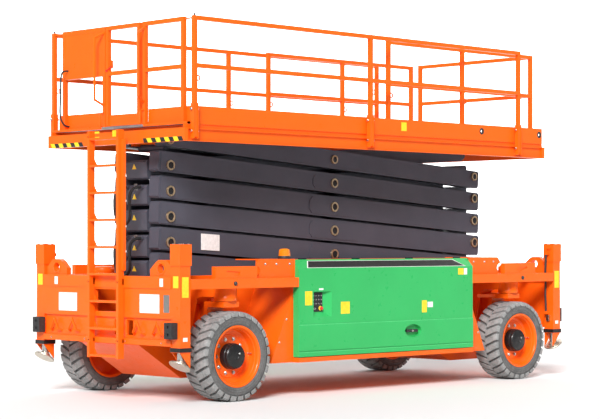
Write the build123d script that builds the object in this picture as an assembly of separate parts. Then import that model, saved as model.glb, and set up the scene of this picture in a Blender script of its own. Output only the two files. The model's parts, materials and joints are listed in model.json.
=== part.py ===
from build123d import *
import math
import os

# Large scissor work platform, stowed. Millimetres. Origin on the floor under the middle of the machine.
# +X is the platform extension's end, -X the ladder's end, +Z is up. Left is +Y, right is -Y.

# ---------------------------------------------------------------- overall
END_X = 3260            # reach of the buffers and of the ladder from the middle
CORNER_X = 3105         # jack posts' centres
CORNER_Y = 1170
SIDE_Y = 1250           # outer face of the covers, beams and tyres
CLEAR = 5               # gap kept between pieces that move
PLATE = 12              # chassis plate
FEW_SIDES = 12          # flats on the round pieces that repeat
HOSE_SIDES = 4

# ---------------------------------------------------------------- wheels
AXLE_X = 2370
TYRE_R = 480
TYRE_W = 355
LUGS = 28               # lugs in each of the two rows, and flats around the tyre and rim
LUG_H = 26
LUG_SHARE = 0.70        # lug's width as a share of the spacing
LUG_SWEEP = 72          # distance around the tyre from a lug's inner end to its outer end
LUG_FOOT = 24           # lug's depth inside the carcass
LUG_GAP = 3             # lugs' inner ends from the middle of the tread
SIDEWALL_R = 375        # widest part of the sidewall starts here
RIM_R = 318             # bead seat
RIM_FLANGE_R = 332
RIM_EDGE = 8            # rim flange, in from the tyre's side
BEAD_EDGE = 24          # tyre's bead, in from its side
RIM_T = 14
WELL_R = 288            # inside of the rim at the disc
DISC_DEPTH = 150        # disc's face, in from the tyre's side
DISC_T = 20
HUB_R = 140
HUB_EDGE = 25           # hub cap's face, in from the tyre's side
WHEEL_Y = SIDE_Y - TYRE_W / 2
WHEEL_GAP = 1           # spindle flange to the rim's disc

# ---------------------------------------------------------------- axles and steering
KINGPIN_Y = 1050
KINGPIN_R = 60
HOUSING_R = 120
YOKE_Z = (2 * TYRE_R + 40, 2 * TYRE_R + 100)
HOUSING_Z = (YOKE_Z[1] + CLEAR, YOKE_Z[1] + 335)
AXLE_ARM_Z = (HOUSING_Z[0] + 45, HOUSING_Z[0] + 225)
AXLE_ARM_W = 220
LEG_Y = (825, 885)      # steering leg, inboard of the tyre
SPINDLE_R = 110
STEER_ARM_X = 300       # steering arm's ball joint, from the kingpin towards the middle
STEER_ARM_Z = (YOKE_Z[0] + 10, YOKE_Z[1] - 10)

# ---------------------------------------------------------------- chassis
BEAM_Y = (420, 520)     # the two long beams, inner and outer faces
BEAM_Z = (600, 1190)
BEAM_END_X = 3130
FLOOR_Z = 620
BELLY_Y = 500
BELLY_LOW_Z = 220
BELLY_MID_Z = 360
BELLY_MID_X = 1600      # raised part of the belly between the axles
BELLY_LOW_X = (1900, 2530)

# ---------------------------------------------------------------- end frames
END_PLATE_X = (3130, 3150)
CROSS_TUBE_X = (3085, 3185)
LOW_TUBE_X = (3130, 3185)
PANEL_X = 3175          # outer face of the raised panel
TOP_TUBE_Z = (1210, 1337)
LOW_TUBE_Z = (610, 670)
RECESS_Z = 895
WINDOW_Y = (-300, 180)  # opening behind the ladder
WINDOW_Z = (950, 1190)
POCKET_W = 110
POCKET_Z = (705, 865)
LOOP_Y = (560, 880)     # tie-down loops' middles
LOOP_W = 170
LOOP_BAR = 24
POST_W = 140
POST_Z = (600, 1450)
CAP_W = 160
CAP_TOP_Z = 1675
CAP_WINDOW = (70, 110)  # hose window in the cap's inner side, width and height
CAP_WINDOW_Z = 1500
CAP_WINDOW_DEPTH = 18
POST_HOSE_R = 13
ELBOW = 36              # width of the square fitting at a post hose's end
HOSE_X = CORNER_X - POST_W / 2 - 42
HOSE_Y = CORNER_Y - 15
HOSE_Z = (805, 1555)
BAND_Z = (550, 600)
SKIRT_TIP_Z = 385
JACK_R = 40
JACK_BORE_R = JACK_R + CLEAR
JACK_TOP_Z = 1560
FOOT_R = 120
FOOT_T = 22
FOOT_TILT = 30
FOOT_Z = 405
LUG_Y = 900
LUG_W = 360
LUG_TOP_Z = 1510
LUG_HOLE_Z = 1420
LUG_HOLE_R = 50
LUG_X = (3085, 3145)
BUFFER_Y = (1080, 1200)
BUFFER_Z = (690, 860)

# ---------------------------------------------------------------- side beams and equipment boxes
SIDE_BEAM_Y = (1175, SIDE_Y)
SIDE_BEAM_Z = (1205, 1310)
INNER_BEAM_Y = (800, 880)
INNER_BEAM_Z = (1290, 1340)
BRACKET_BOX_X = (2080, 2680)   # box over each wheel on the side beam
BRACKET_BOX_Z = 1440
SLOT_X = (2330, 2520)
BOX_X = 1468            # end of the covers
BOX_SIDE_Y = 1150
BOX_TOP_Z = 1505
BOX_TOP_X = 1440
BOX_FOOT_X = 1800
SILL_Z = (375, 425)
COVER_LOW_Z = 433
COVER_EDGE_Z = 1407
COVER_STEP_Z = 783      # lower panel stands proud below this line
COVER_STEP = 8
COVER_BEAD_Z = 490
COVER_TOP_Y = 1130
COVER_T = 8
CONTROL_X = (-1235, -949)
CONTROL_Z = (865, 1149)
LATCH_X = 394
LATCH_Z = 664
LATCH_SIZE = (290, 155)
POCKET_DEPTH = 45
TOWER_X = 2050
TOWER_TOP_Z = 1514
TOWER_NOTCH_R = 60
BEACON_X = 1565
BEACON_Y = 1120

# ---------------------------------------------------------------- scissor stack
LEVELS = 6
STACK_X = -40           # middle of the stack
HALF_SPAN = 2540        # middle to the end pins, stowed
PITCH = 280             # height from level to level, stowed
BASE_Z = 1135           # lowest pins
ARM_L = math.hypot(2 * HALF_SPAN, PITCH)
TILT = math.degrees(math.atan2(PITCH, 2 * HALF_SPAN))
OUTER_Y = (220, 375)
INNER_Y = (90, 180)
REAR_REACH = 165        # arm beyond its rear pin
FRONT_REACH = 100
END_OFFSET = 35         # arm's centre line above or below its end pins
ARM_CORNER = 22         # corners cut from the arms' ends
BOSS = 20               # pin ends stand proud of the outer arms
DOUBLER_T = 8
HOSE_LEVELS = {"lower_arm_hoses": 3, "upper_arm_hoses": 5}
FITTING_R = 26
FITTING_L = 25
FITTING_Y = (-110, 140)   # of both ends of an arm's hose
FITTING_Z = 55
ARM_HOSE_R = 17
HOSE_REACH = 163        # from the fittings back to the hose's hanging loop
HOSE_CORNER = 73
INNER_SLOT = 1500       # open length of the inner arms to each side of the middle, between their side beams
TOP_LUG_R = {"inner": 55, "outer": 95}   # top arms' ends at the platform
PIN_CLEAR = 1.5
ROLLER_R = 60
ROLLER_GAP = 1
ROLLER_W = 35
TRACK_REAR_X = STACK_X - HALF_SPAN + 1500   # the rollers run no further back when the stack is up
# level: arm height, pin radius
ARM_TABLE = {1: (250, 50), 2: (250, 50), 3: (250, 50), 4: (245, 48), 5: (225, 46), 6: (215, 42)}
# level: middle doubler's length and height; rear doubler's reach past the pin at the top and at the bottom
DOUBLER_TABLE = {1: (820, 200, 190, 260), 2: (820, 200, 190, 260), 3: (820, 200, 190, 260),
                 4: (820, 190, 120, 230), 5: (700, 150, -60, 30)}

# ---------------------------------------------------------------- lift cylinders
CYL_LEVELS = (1, 4)     # each from this level's inner arm to the next one's
CYL_EYE = 950           # eyes from the arms' middles
BARREL_R = 62
ROD_R = 38
CYL_PIN_R = 30
EYE_R = 55
EYE_W = 90

# ---------------------------------------------------------------- platform
FRAME_X = (-3060, 2940)
FRAME_Y = 1180
FRAME_Z = (2755, 2895)
FRAME_T = 50
FRAME_LIP = 12
DECK_Z = (2935, 2960)
DECK_Y = 1150
CROSS_W = 60
CROSS_X = (-2900, -1450, 0, 1450, 2750)
TOE_TOP_Z = 3128
TOE_T = 12
REAR_TOE_X = (24, 36)    # rear toe board's faces, forward of the rear rail's middle
CABLE_R = 10
TOE_FRONT_X = 2906
TOE_HOLE_Z = 3050
TOE_HOLE_R = 32
TOE_HOLES_X = (1730, 2847)
RAIL_W = 45
RAIL_TOP_Z = 4065
MID_RAIL_Z = 3545
REAR_X = -2950          # middle of the rear rail
SIDE_RAIL_Y = 1207
SIDE_POSTS_X = (-2950, -287, 2375)
BRACKET_Z = (2780, 3150)
BRACKET_T = 8
EYE_LOOP = 60
EYE_WALL = 12
EYE_T = 10
EYE_DROP = 130          # from the middle rail down to the eyes
GATE_Y = (-334, 250)
GATE_POSTS_Y = (-405, 284)
REAR_END_Y = 1035       # far post of the rear rail's right half
PANEL_Z = (3530, RAIL_TOP_Z)
PANEL_Y = (GATE_POSTS_Y[1], 1005)
PANEL_T = 12
GRAB_Z = (3200, 4000)   # tall grab bars beside the gate
GRAB_REACH = 110
TUBE_R = 14             # bent round bars
BOX_Y = (450, 850)      # control box behind the rear panel
BOX_Z = (PANEL_Z[0] + 110, RAIL_TOP_Z - 85)
BOX_DEPTH = 100
EXT_X = (190, 2870)
EXT_Y = 1020
EXT_DECK_Z = (2966, 2990)
EXT_DROP = 8            # extension's top rail below the side rails'
END_RAIL_Y = 850


# ---------------------------------------------------------------- ladder and power units
LADDER_Z = (450, 2900)
STILES_Y = (-310, 190)   # middles of the two stiles
STILE_W = 40
STILE_D = 75
TREADS = 9
TREAD_PITCH = 292.5
STIFF_Z = (1390, 2800)  # stiffeners outside the stiles' upper half
STIFF_T = 35
UNITS_X = 1150
UNITS_Y = (600, 1080)
BATTERIES = 4
BATTERY_W = 540
BATTERY_PITCH = 580
BATTERY_TOP_Z = 1050
TANK_W = 1000
TANK_TOP_Z = 1150
PUMP_W = 1050
PUMP_TOP_Z = 700


# ---------------------------------------------------------------- helpers
def block(x, y, z):
    """Box between two X, two Y and two Z values."""
    return Pos((x[0] + x[1]) / 2, (y[0] + y[1]) / 2, (z[0] + z[1]) / 2) * Box(
        abs(x[1] - x[0]), abs(y[1] - y[0]), abs(z[1] - z[0]))


def rod(axis, centre, radius, low, high, sides=0, fits=False):
    """Bar along X, Y or Z from low to high, its centre given by the other two coordinates in order.

    It is round, or has that many sides; the radius is then to its corners, or to its flats for a bore.
    """
    length = high - low
    if sides:
        section = RegularPolygon(radius, sides, major_radius=not fits)
        bar_shape = Pos(0, 0, -length / 2) * extrude(section, length)
    else:
        bar_shape = Cylinder(radius, length)
    mid = (low + high) / 2
    if axis == "X":
        return Pos(mid, *centre) * Rot(0, 90, 0) * bar_shape
    if axis == "Y":
        return Pos(centre[0], mid, centre[1]) * Rot(90, 0, 0) * bar_shape
    return Pos(*centre, mid) * bar_shape


def prism(axis, points, low, high, corner=0):
    """Outline extruded along X (points y, z), Y (points x, z) or Z (points x, y), its corners cut off."""
    planes = {
        "X": Plane(origin=(low, 0, 0), x_dir=(0, 1, 0), z_dir=(1, 0, 0)),
        "Y": Plane(origin=(0, high, 0), x_dir=(1, 0, 0), z_dir=(0, -1, 0)),
        "Z": Plane(origin=(0, 0, low), x_dir=(1, 0, 0), z_dir=(0, 0, 1)),
    }
    face = make_face(Polyline(*points, close=True))
    if corner:
        face = chamfer(face.vertices(), corner)
    return extrude(planes[axis] * face, high - low)


def rectangle(x, z):
    """Corners of a rectangle, for prism."""
    return [(x[0], z[0]), (x[1], z[0]), (x[1], z[1]), (x[0], z[1])]


def bent_bar(points, radius, sides=6):
    """Bar with mitred bends."""
    path = Polyline(*points)
    section = Plane(origin=path @ 0, z_dir=path % 0) * RegularPolygon(radius, sides)
    return sweep(section, path=path, transition=Transition.RIGHT)


def hose(name, points, radius):
    """Tube of straight runs and tangent arcs, as large as the runs allow; prints the arcs' radii."""
    places = [Vector(*p) for p in points]
    radii = []
    for before, here, after in zip(places, places[1:], places[2:]):
        half_turn = math.radians((here - before).get_angle(after - here)) / 2
        radii.append(0.45 * min((here - before).length, (after - here).length) / math.tan(half_turn))
    print(name, "bend radii in mm:", ", ".join(f"{r:.0f}" for r in radii))
    path = FilletPolyline(*points, radius=radii)
    section = Plane(origin=path @ 0, z_dir=path % 0) * RegularPolygon(radius, HOSE_SIDES)
    return sweep(section, path=path)


def both_sides(part):
    """The part and its mirror image across the machine's centre plane."""
    return part + mirror(part, Plane.XZ)


def both_ends(part):
    """The part and its mirror image across the machine's middle."""
    return part + mirror(part, Plane.YZ)


def span(inner, outer, side):
    """Values from inner to outer on the left or front (+1), or on the right or rear (-1)."""
    return tuple(sorted((side * inner, side * outer)))


def save(node, part):
    part = Part() + part
    part.label = node
    export_step(part, f"parts/{node}.step")


CORNERS = {"rear_right": (-1, -1), "rear_left": (-1, 1), "front_right": (1, -1), "front_left": (1, 1)}


# ---------------------------------------------------------------- chassis
def main_frame():
    beams = both_sides(block((-BEAM_END_X, BEAM_END_X), BEAM_Y, BEAM_Z))
    floor = block((-BEAM_END_X, BEAM_END_X), (-BEAM_Y[0], BEAM_Y[0]), (BEAM_Z[0], FLOOR_Z))
    frame = beams + floor
    # Brackets of the lowest arms' fixed rear pins.
    pin_x = STACK_X - HALF_SPAN
    bracket = prism("Y", [(pin_x - 120, FLOOR_Z), (pin_x + 120, FLOOR_Z), (pin_x + 60, BASE_Z + 60),
                          (pin_x - 60, BASE_Z + 60)], INNER_Y[1] + 2 * CLEAR, OUTER_Y[0] - CLEAR)
    frame += both_sides(bracket)
    return frame + rod("Y", (pin_x, BASE_Z), ARM_TABLE[1][1], -OUTER_Y[0] + CLEAR, OUTER_Y[0] - CLEAR)


def roller_tracks():
    """Ledges inside the long beams that carry the lowest arms' rollers."""
    top = BASE_Z - ROLLER_R - ROLLER_GAP
    reach = (TRACK_REAR_X, STACK_X + HALF_SPAN + 2 * ROLLER_R)
    return both_sides(block(reach, (BEAM_Y[0] - ROLLER_W, BEAM_Y[0]), (top - 40, top)))


def belly_pan():
    half = [(BELLY_MID_X, BELLY_MID_Z), (BELLY_LOW_X[0], BELLY_LOW_Z), (BELLY_LOW_X[1], BELLY_LOW_Z),
            (BEAM_END_X - 10, BEAM_Z[0])]
    return prism("Y", [(-x, z) for x, z in reversed(half)] + half, -BELLY_Y, BELLY_Y)


def axle_arm():
    """Front left arm from the long beam to the kingpin's housing, with a gusset under it."""
    x = (AXLE_X - AXLE_ARM_W / 2, AXLE_X + AXLE_ARM_W / 2)
    arm = prism("X", [(BEAM_Y[1], AXLE_ARM_Z[0] - 90), (BEAM_Y[1], AXLE_ARM_Z[1]), (KINGPIN_Y, AXLE_ARM_Z[1]),
                      (KINGPIN_Y, AXLE_ARM_Z[0]), (LEG_Y[0] - 50, AXLE_ARM_Z[0])], *x)
    for rib_x in (x[0], x[1] - PLATE):
        arm += prism("X", [(BEAM_Y[1], BEAM_Z[0] + 60), (BEAM_Y[1], AXLE_ARM_Z[0] + 10),
                           (LEG_Y[0] - 130, AXLE_ARM_Z[0] + 10), (LEG_Y[0] - 130, AXLE_ARM_Z[0] - 60),
                           (BEAM_Y[1] + 90, BEAM_Z[0] + 60)], rib_x, rib_x + PLATE)
    arm += rod("Z", (AXLE_X, KINGPIN_Y), HOUSING_R, *HOUSING_Z, sides=FEW_SIDES)
    return arm - rod("Z", (AXLE_X, KINGPIN_Y), KINGPIN_R + 2, HOUSING_Z[0] - 10, HOUSING_Z[1] - 80,
                     sides=FEW_SIDES, fits=True)


def lifting_lug():
    top = [(LUG_Y - LUG_W / 2, TOP_TUBE_Z[1] - 20), (LUG_Y + LUG_W / 2, TOP_TUBE_Z[1] - 20),
           (LUG_Y + LUG_W / 2, LUG_TOP_Z - 90), (LUG_Y + 115, LUG_TOP_Z - 30), (LUG_Y + 75, LUG_TOP_Z),
           (LUG_Y - 45, LUG_TOP_Z), (LUG_Y - 90, LUG_TOP_Z - 25), (LUG_Y - LUG_W / 2, LUG_TOP_Z - 100)]
    return prism("X", top, *LUG_X) - rod("X", (LUG_Y, LUG_HOLE_Z), LUG_HOLE_R, LUG_X[0] - 10, LUG_X[1] + 10)


def tie_down_loop(y):
    """Bent bar whose ends stand on the end plate in the recess, at the front."""
    x = END_PLATE_X[1]
    out = x + 45
    low = LOW_TUBE_Z[1] + 45
    high = RECESS_Z - 45
    ends = (y - LOOP_W / 2, y + LOOP_W / 2)
    return bent_bar([(x - 5, ends[0], low), (out, ends[0] + 20, low + 25), (out, y, high),
                     (out, ends[1] - 20, low + 25), (x - 5, ends[1], low)], LOOP_BAR / 2, sides=4)


def end_frame():
    """Front cross frame between the two jack posts."""
    reach = CORNER_Y - POST_W / 2
    across = (-reach, reach)
    frame = block(END_PLATE_X, across, (LOW_TUBE_Z[0], TOP_TUBE_Z[1]))
    frame += block(CROSS_TUBE_X, across, TOP_TUBE_Z) + block(LOW_TUBE_X, across, LOW_TUBE_Z)
    frame += block((END_PLATE_X[1], PANEL_X), across, (RECESS_Z, TOP_TUBE_Z[0]))
    frame -= block((END_PLATE_X[0] - 5, PANEL_X + 5), WINDOW_Y, WINDOW_Z)
    for y in (WINDOW_Y[0] - POCKET_W - 40, WINDOW_Y[0] + 60):
        frame -= block((END_PLATE_X[0] - 5, END_PLATE_X[1] + 5), (y, y + POCKET_W), POCKET_Z)
    for y in LOOP_Y:
        frame += both_sides(tie_down_loop(y))
    return frame + both_sides(lifting_lug())


def jack_post():
    """Front left post: square tube with a wider cap, a band at its foot and a slanted skirt."""
    x, y = CORNER_X, CORNER_Y

    def square(width, z):
        return block((x - width / 2, x + width / 2), (y - width / 2, y + width / 2), z)

    half = POST_W / 2
    post = square(POST_W, POST_Z) + square(CAP_W, (POST_Z[1], CAP_TOP_Z)) + square(CAP_W, BAND_Z)
    for cheek in (-1, 1):
        y_cheek = sorted((y + cheek * half, y + cheek * (half - PLATE)))
        post += prism("Y", [(x + half, BAND_Z[0]), (x - half, BAND_Z[0]), (x - half, SKIRT_TIP_Z)], *y_cheek)
    post -= rod("Z", (x, y), JACK_BORE_R, SKIRT_TIP_Z - 10, JACK_TOP_Z + 30, sides=FEW_SIDES, fits=True)
    window_x = (x - CAP_W, x - CAP_W / 2 + CAP_WINDOW_DEPTH)
    window_y = (y - CAP_WINDOW[0] / 2, y + CAP_WINDOW[0] / 2)
    post -= block(window_x, window_y, (CAP_WINDOW_Z, CAP_WINDOW_Z + CAP_WINDOW[1]))
    # Elbow fittings that turn the hose's ends along the post.
    reach = ELBOW / 2
    for seat, z in ((x - half, HOSE_Z[0]), (window_x[1], HOSE_Z[1])):
        post += block((HOSE_X - reach, seat), (HOSE_Y - reach, HOSE_Y + reach), (z - reach, z + reach))
    return post


def post_hose():
    """Front left jack's hose, between its two elbows down the post's inner side."""
    x, y = HOSE_X, HOSE_Y
    low = HOSE_Z[0] + ELBOW / 2
    high = HOSE_Z[1] - ELBOW / 2
    route = [(x, y, high), (x, y, high - 75), (x - 7, y - 5, high - 207), (x + 6, y - 7, high - 357),
             (x - 6, y - 6, low + 207), (x, y, low + 97), (x, y, low)]
    return hose("post hose", route, POST_HOSE_R)


def jack_leg(end, side):
    x = end * CORNER_X
    y = side * CORNER_Y
    leg = rod("Z", (x, y), JACK_R, FOOT_Z, JACK_TOP_Z, sides=FEW_SIDES)
    sole = Pos(0, 0, -FOOT_T / 2) * extrude(RegularPolygon(FOOT_R, FEW_SIDES), FOOT_T)
    ankle = Pos(0, 0, FOOT_T / 2) * extrude(RegularPolygon(80, FEW_SIDES), 40, taper=30)
    return leg + Pos(x + end * 15, y, FOOT_Z) * Rot(0, -end * FOOT_TILT, 0) * (sole + ankle)


def buffer():
    return block((CORNER_X + POST_W / 2, END_X), BUFFER_Y, BUFFER_Z)


def side_beam():
    """Front left outer beam with the box over the wheel and the plate beside the equipment box."""
    beam = block((BOX_X, CORNER_X - POST_W / 2), SIDE_BEAM_Y, SIDE_BEAM_Z)
    box_y = (SIDE_BEAM_Y[0], SIDE_BEAM_Y[1] - 15)
    middle = (BRACKET_BOX_X[0] + BRACKET_BOX_X[1]) / 2
    box = prism("Y", [(BRACKET_BOX_X[0], SIDE_BEAM_Z[1]), (BRACKET_BOX_X[1], SIDE_BEAM_Z[1]),
                      (BRACKET_BOX_X[1], BRACKET_BOX_Z), (BRACKET_BOX_X[0], BRACKET_BOX_Z)], *box_y)
    slot = [(SLOT_X[0], BRACKET_BOX_Z - 95), (middle, BRACKET_BOX_Z - 110), (SLOT_X[1], BRACKET_BOX_Z - 60),
            (SLOT_X[1], BRACKET_BOX_Z - 45), (SLOT_X[0], BRACKET_BOX_Z - 60)]
    box -= prism("Y", slot, box_y[1] - 12, box_y[1] + 5)
    tower_y = (SIDE_BEAM_Y[0], SIDE_BEAM_Y[0] + PLATE)
    tower = prism("Y", [(BOX_X, SIDE_BEAM_Z[1]), (TOWER_X, SIDE_BEAM_Z[1]), (TOWER_X, TOWER_TOP_Z - 50),
                        (TOWER_X - 50, TOWER_TOP_Z), (BOX_X, TOWER_TOP_Z)], *tower_y)
    tower -= rod("Y", (TOWER_X, SIDE_BEAM_Z[1] + 70), TOWER_NOTCH_R, tower_y[0] - 5, tower_y[1] + PLATE,
                 sides=FEW_SIDES)
    shelf = block((BOX_X, TOWER_X - 50), (INNER_BEAM_Y[0], tower_y[1]), (TOWER_TOP_Z - PLATE, TOWER_TOP_Z))
    inner = block((BOX_TOP_X, CROSS_TUBE_X[0]), INNER_BEAM_Y, INNER_BEAM_Z)
    return beam + box + tower + shelf + inner


def wheel_arch():
    """Front left arch plate at the equipment box's end, shaped round the tyre."""
    points = [(BOX_TOP_X, SIDE_BEAM_Z[0]), (BOX_FOOT_X, SILL_Z[0]), (BOX_TOP_X - 60, SILL_Z[0]),
              (BOX_TOP_X - 60, SIDE_BEAM_Z[0])]
    return prism("Y", points, BOX_SIDE_Y - PLATE, BOX_SIDE_Y)


def equipment_box():
    """Left open-fronted housing between the wheels; the cover closes its outer side."""
    inner = BEAM_Y[1]
    wall = (inner, inner + PLATE)
    shell = block((-BOX_TOP_X, BOX_TOP_X), wall, (SILL_Z[0], BOX_TOP_Z))
    shell += block((-BOX_FOOT_X, BOX_FOOT_X), (inner, BOX_SIDE_Y), (SILL_Z[0], SILL_Z[0] + PLATE))
    shell += block((-BOX_X, BOX_X), (BOX_SIDE_Y, SIDE_Y), SILL_Z)
    shell += block((-BOX_TOP_X, BOX_TOP_X), (inner, COVER_TOP_Y - 15), (BOX_TOP_Z - PLATE, BOX_TOP_Z))
    slope = [(BOX_TOP_X, SIDE_BEAM_Z[0]), (BOX_FOOT_X, SILL_Z[0]), (BOX_FOOT_X - PLATE, SILL_Z[0]),
             (BOX_TOP_X - PLATE, SIDE_BEAM_Z[0])]
    end_wall = prism("Y", slope, inner, BOX_SIDE_Y)
    end_wall += block((BOX_TOP_X - PLATE, BOX_TOP_X), (inner, COVER_TOP_Y - 15), (SIDE_BEAM_Z[0], BOX_TOP_Z))
    return shell + both_ends(end_wall + wheel_arch())


def cover():
    """Left top-hinged cover: chamfered shoulder, proud lower panel, recessed controls and latch."""
    low_y = SIDE_Y
    high_y = SIDE_Y - COVER_STEP
    outer = [(COVER_TOP_Y, BOX_TOP_Z), (BOX_SIDE_Y, BOX_TOP_Z), (high_y, COVER_EDGE_Z),
             (high_y, COVER_STEP_Z + 12), (low_y, COVER_STEP_Z), (low_y, COVER_LOW_Z),
             (BOX_SIDE_Y + 10, COVER_LOW_Z), (BOX_SIDE_Y + 10, COVER_EDGE_Z - 60),
             (COVER_TOP_Y, BOX_TOP_Z - 45)]
    inner = [(COVER_TOP_Y - 20, BOX_TOP_Z - COVER_T), (BOX_SIDE_Y - 3, BOX_TOP_Z - COVER_T),
             (high_y - COVER_T, COVER_EDGE_Z - 4), (high_y - COVER_T, COVER_LOW_Z + COVER_T),
             (BOX_SIDE_Y - 40, COVER_LOW_Z + COVER_T), (BOX_SIDE_Y - 40, COVER_EDGE_Z - 100)]
    shell = prism("X", outer, -BOX_X, BOX_X) - prism("X", inner, -BOX_X + COVER_T, BOX_X - COVER_T)
    bead = [(low_y + 1, COVER_BEAD_Z - 6), (low_y + 1, COVER_BEAD_Z + 6), (low_y - 5, COVER_BEAD_Z)]
    shell -= prism("X", bead, -BOX_X - 1, BOX_X + 1)
    pocket_y = (high_y - POCKET_DEPTH, high_y)
    rim_x = (CONTROL_X[0] - COVER_T, CONTROL_X[1] + COVER_T)
    rim_z = (CONTROL_Z[0] - COVER_T, CONTROL_Z[1] + COVER_T)
    shell += block(rim_x, (pocket_y[0] - COVER_T, pocket_y[1] - 1), rim_z)
    shell -= control_recess(pocket_y)
    shell += prism("Y", latch_outline(COVER_T), low_y - POCKET_DEPTH - COVER_T, low_y - 1)
    return shell - prism("Y", latch_outline(0), low_y - POCKET_DEPTH, low_y + 1)


def control_recess(y):
    """Pocket with a wide slanted side towards the middle and a narrow slanted foot."""
    mouth = Plane(origin=(0, y[1] + 1, 0), x_dir=(1, 0, 0), z_dir=(0, -1, 0)) * make_face(
        Polyline(*rectangle(CONTROL_X, CONTROL_Z), close=True))
    floor_x = (CONTROL_X[0] + 6, CONTROL_X[1] - 105)
    floor_z = (CONTROL_Z[0] + 55, CONTROL_Z[1] - 6)
    floor = Plane(origin=(0, y[0], 0), x_dir=(1, 0, 0), z_dir=(0, -1, 0)) * make_face(
        Polyline(*rectangle(floor_x, floor_z), close=True))
    return loft([mouth, floor])


def latch_outline(grow):
    """Oval of flats around the latch."""
    width, height = LATCH_SIZE[0] / 2 + grow, LATCH_SIZE[1] / 2 + grow
    steps = [2 * math.pi * i / FEW_SIDES for i in range(FEW_SIDES)]
    return [(LATCH_X + width * math.cos(a), LATCH_Z + height * math.sin(a)) for a in steps]


def ladder():
    stile_x = (-END_X, -END_X + STILE_D)
    outside = (STILES_Y[0] - STILE_W / 2, STILES_Y[1] + STILE_W / 2)
    inside = (STILES_Y[0] + STILE_W / 2, STILES_Y[1] - STILE_W / 2)
    part = block(stile_x, (outside[0], inside[0]), LADDER_Z)
    part += block(stile_x, (inside[1], outside[1]), LADDER_Z)
    for i in range(TREADS):
        z = LADDER_Z[0] + 23 + i * TREAD_PITCH
        part += block(stile_x, inside, (z - 12, z + 12))
        if i < TREADS - 1:
            part += prism("X", [(inside[1], z + 12), (inside[1] - 45, z + 12), (inside[1], z + 75)],
                          stile_x[1] - 8, stile_x[1])
    # Stiffeners outside the upper half of the stiles, and the lower brackets to the end frame.
    for y in ((outside[1], outside[1] + STIFF_T), (outside[0] - STIFF_T, outside[0])):
        part += prism("Y", rectangle((stile_x[0] + 35, stile_x[1]), STIFF_Z), *y, corner=12)
    return part


def power_units():
    """Battery packs on a tray on the left; hydraulic tank and pump block on the right."""
    base = SILL_Z[0] + PLATE
    units = block((-UNITS_X - 50, UNITS_X + 50), UNITS_Y, (base, base + 30))
    for i in range(BATTERIES):
        x0 = -UNITS_X + i * BATTERY_PITCH
        units += block((x0, x0 + BATTERY_W), (UNITS_Y[0] + 20, UNITS_Y[1] - 20), (base + 30, BATTERY_TOP_Z))
    tank_y = (-UNITS_Y[1], -UNITS_Y[0])
    units += block((-UNITS_X, -UNITS_X + TANK_W), tank_y, (base, TANK_TOP_Z))
    return units + block((UNITS_X - PUMP_W, UNITS_X), tank_y, (base, PUMP_TOP_Z))


def beacon():
    x, y = -BEACON_X, -BEACON_Y
    foot = rod("Z", (x, y), 45, TOWER_TOP_Z, TOWER_TOP_Z + 30, sides=FEW_SIDES)
    lens = Pos(x, y, TOWER_TOP_Z + 30) * extrude(RegularPolygon(75, FEW_SIDES), 85, taper=8)
    return foot + lens


# ---------------------------------------------------------------- wheels
def flat_ring(profile, flats):
    """One flat of a ring about the wheel's axle; profile points are (radius, offset along the axle)."""
    half = math.pi / flats
    reach = 1.1 * max(r for r, _ in profile)
    section = make_face(Polyline(*[(r, a, 0) for r, a in profile], close=True))
    bar_shape = extrude(section, reach * math.tan(half), dir=(0, 0, 1), both=True)
    sides = [a for _, a in profile]
    wedge = prism("Y", [(0, 0), (reach, -reach * math.tan(half)), (reach, reach * math.tan(half))],
                  min(sides) - 1, max(sides) + 1)
    return bar_shape & wedge


def tyre_segment():
    """One flat of the carcass with a slanted lug of each row, half a spacing apart."""
    w = TYRE_W / 2
    carcass_r = TYRE_R - LUG_H
    half = [(RIM_R, BEAD_EDGE), (SIDEWALL_R, 0), (carcass_r, 0)]
    segment = flat_ring([(r, a - w) for r, a in half] + [(r, w - a) for r, a in reversed(half)], LUGS)
    pitch = 2 * math.pi * carcass_r / LUGS
    width = LUG_SHARE * pitch
    # Flat tops, as high as keeps their corners on the tyre's radius.
    top = math.sqrt(TYRE_R ** 2 - ((LUG_SWEEP + width) / 2) ** 2)
    ends = [(LUG_GAP, LUG_SWEEP / 2), (w, -LUG_SWEEP / 2)]
    for row in (-1, 1):
        outline = [(row * a, s - width / 2, 0) for a, s in ends]
        outline += [(row * a, s + width / 2, 0) for a, s in reversed(ends)]
        foot = Plane(origin=(carcass_r - LUG_FOOT, 0, 0), x_dir=(0, 1, 0), z_dir=(1, 0, 0))
        sole = foot * make_face(Polyline(*outline, close=True))
        segment += Rot(0, row * 90 / LUGS, 0) * extrude(sole, top - carcass_r + LUG_FOOT)
    return segment


def wheel_ring(segment):
    """All the flats around the axle, joined."""
    turns = [Rot(0, 360 * i / LUGS, 0) * segment for i in range(LUGS)]
    return turns[0] + turns[1:]


def rim():
    """Rim with its dish towards +Y, and the hub cap."""
    w = TYRE_W / 2
    flange = [(RIM_R, BEAD_EDGE), (RIM_FLANGE_R, RIM_EDGE), (RIM_R - RIM_T, RIM_EDGE)]
    front = [(WELL_R, DISC_DEPTH), (0, DISC_DEPTH)]
    back = [(0, DISC_DEPTH + DISC_T), (WELL_R, DISC_DEPTH + DISC_T)]
    profile = [(r, w - a) for r, a in flange + front + back] + [(r, a - w) for r, a in reversed(flange)]
    return wheel_ring(flat_ring(profile, LUGS)) + rod("Y", (0, 0), HUB_R, w - DISC_DEPTH - 5, w - HUB_EDGE)


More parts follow.
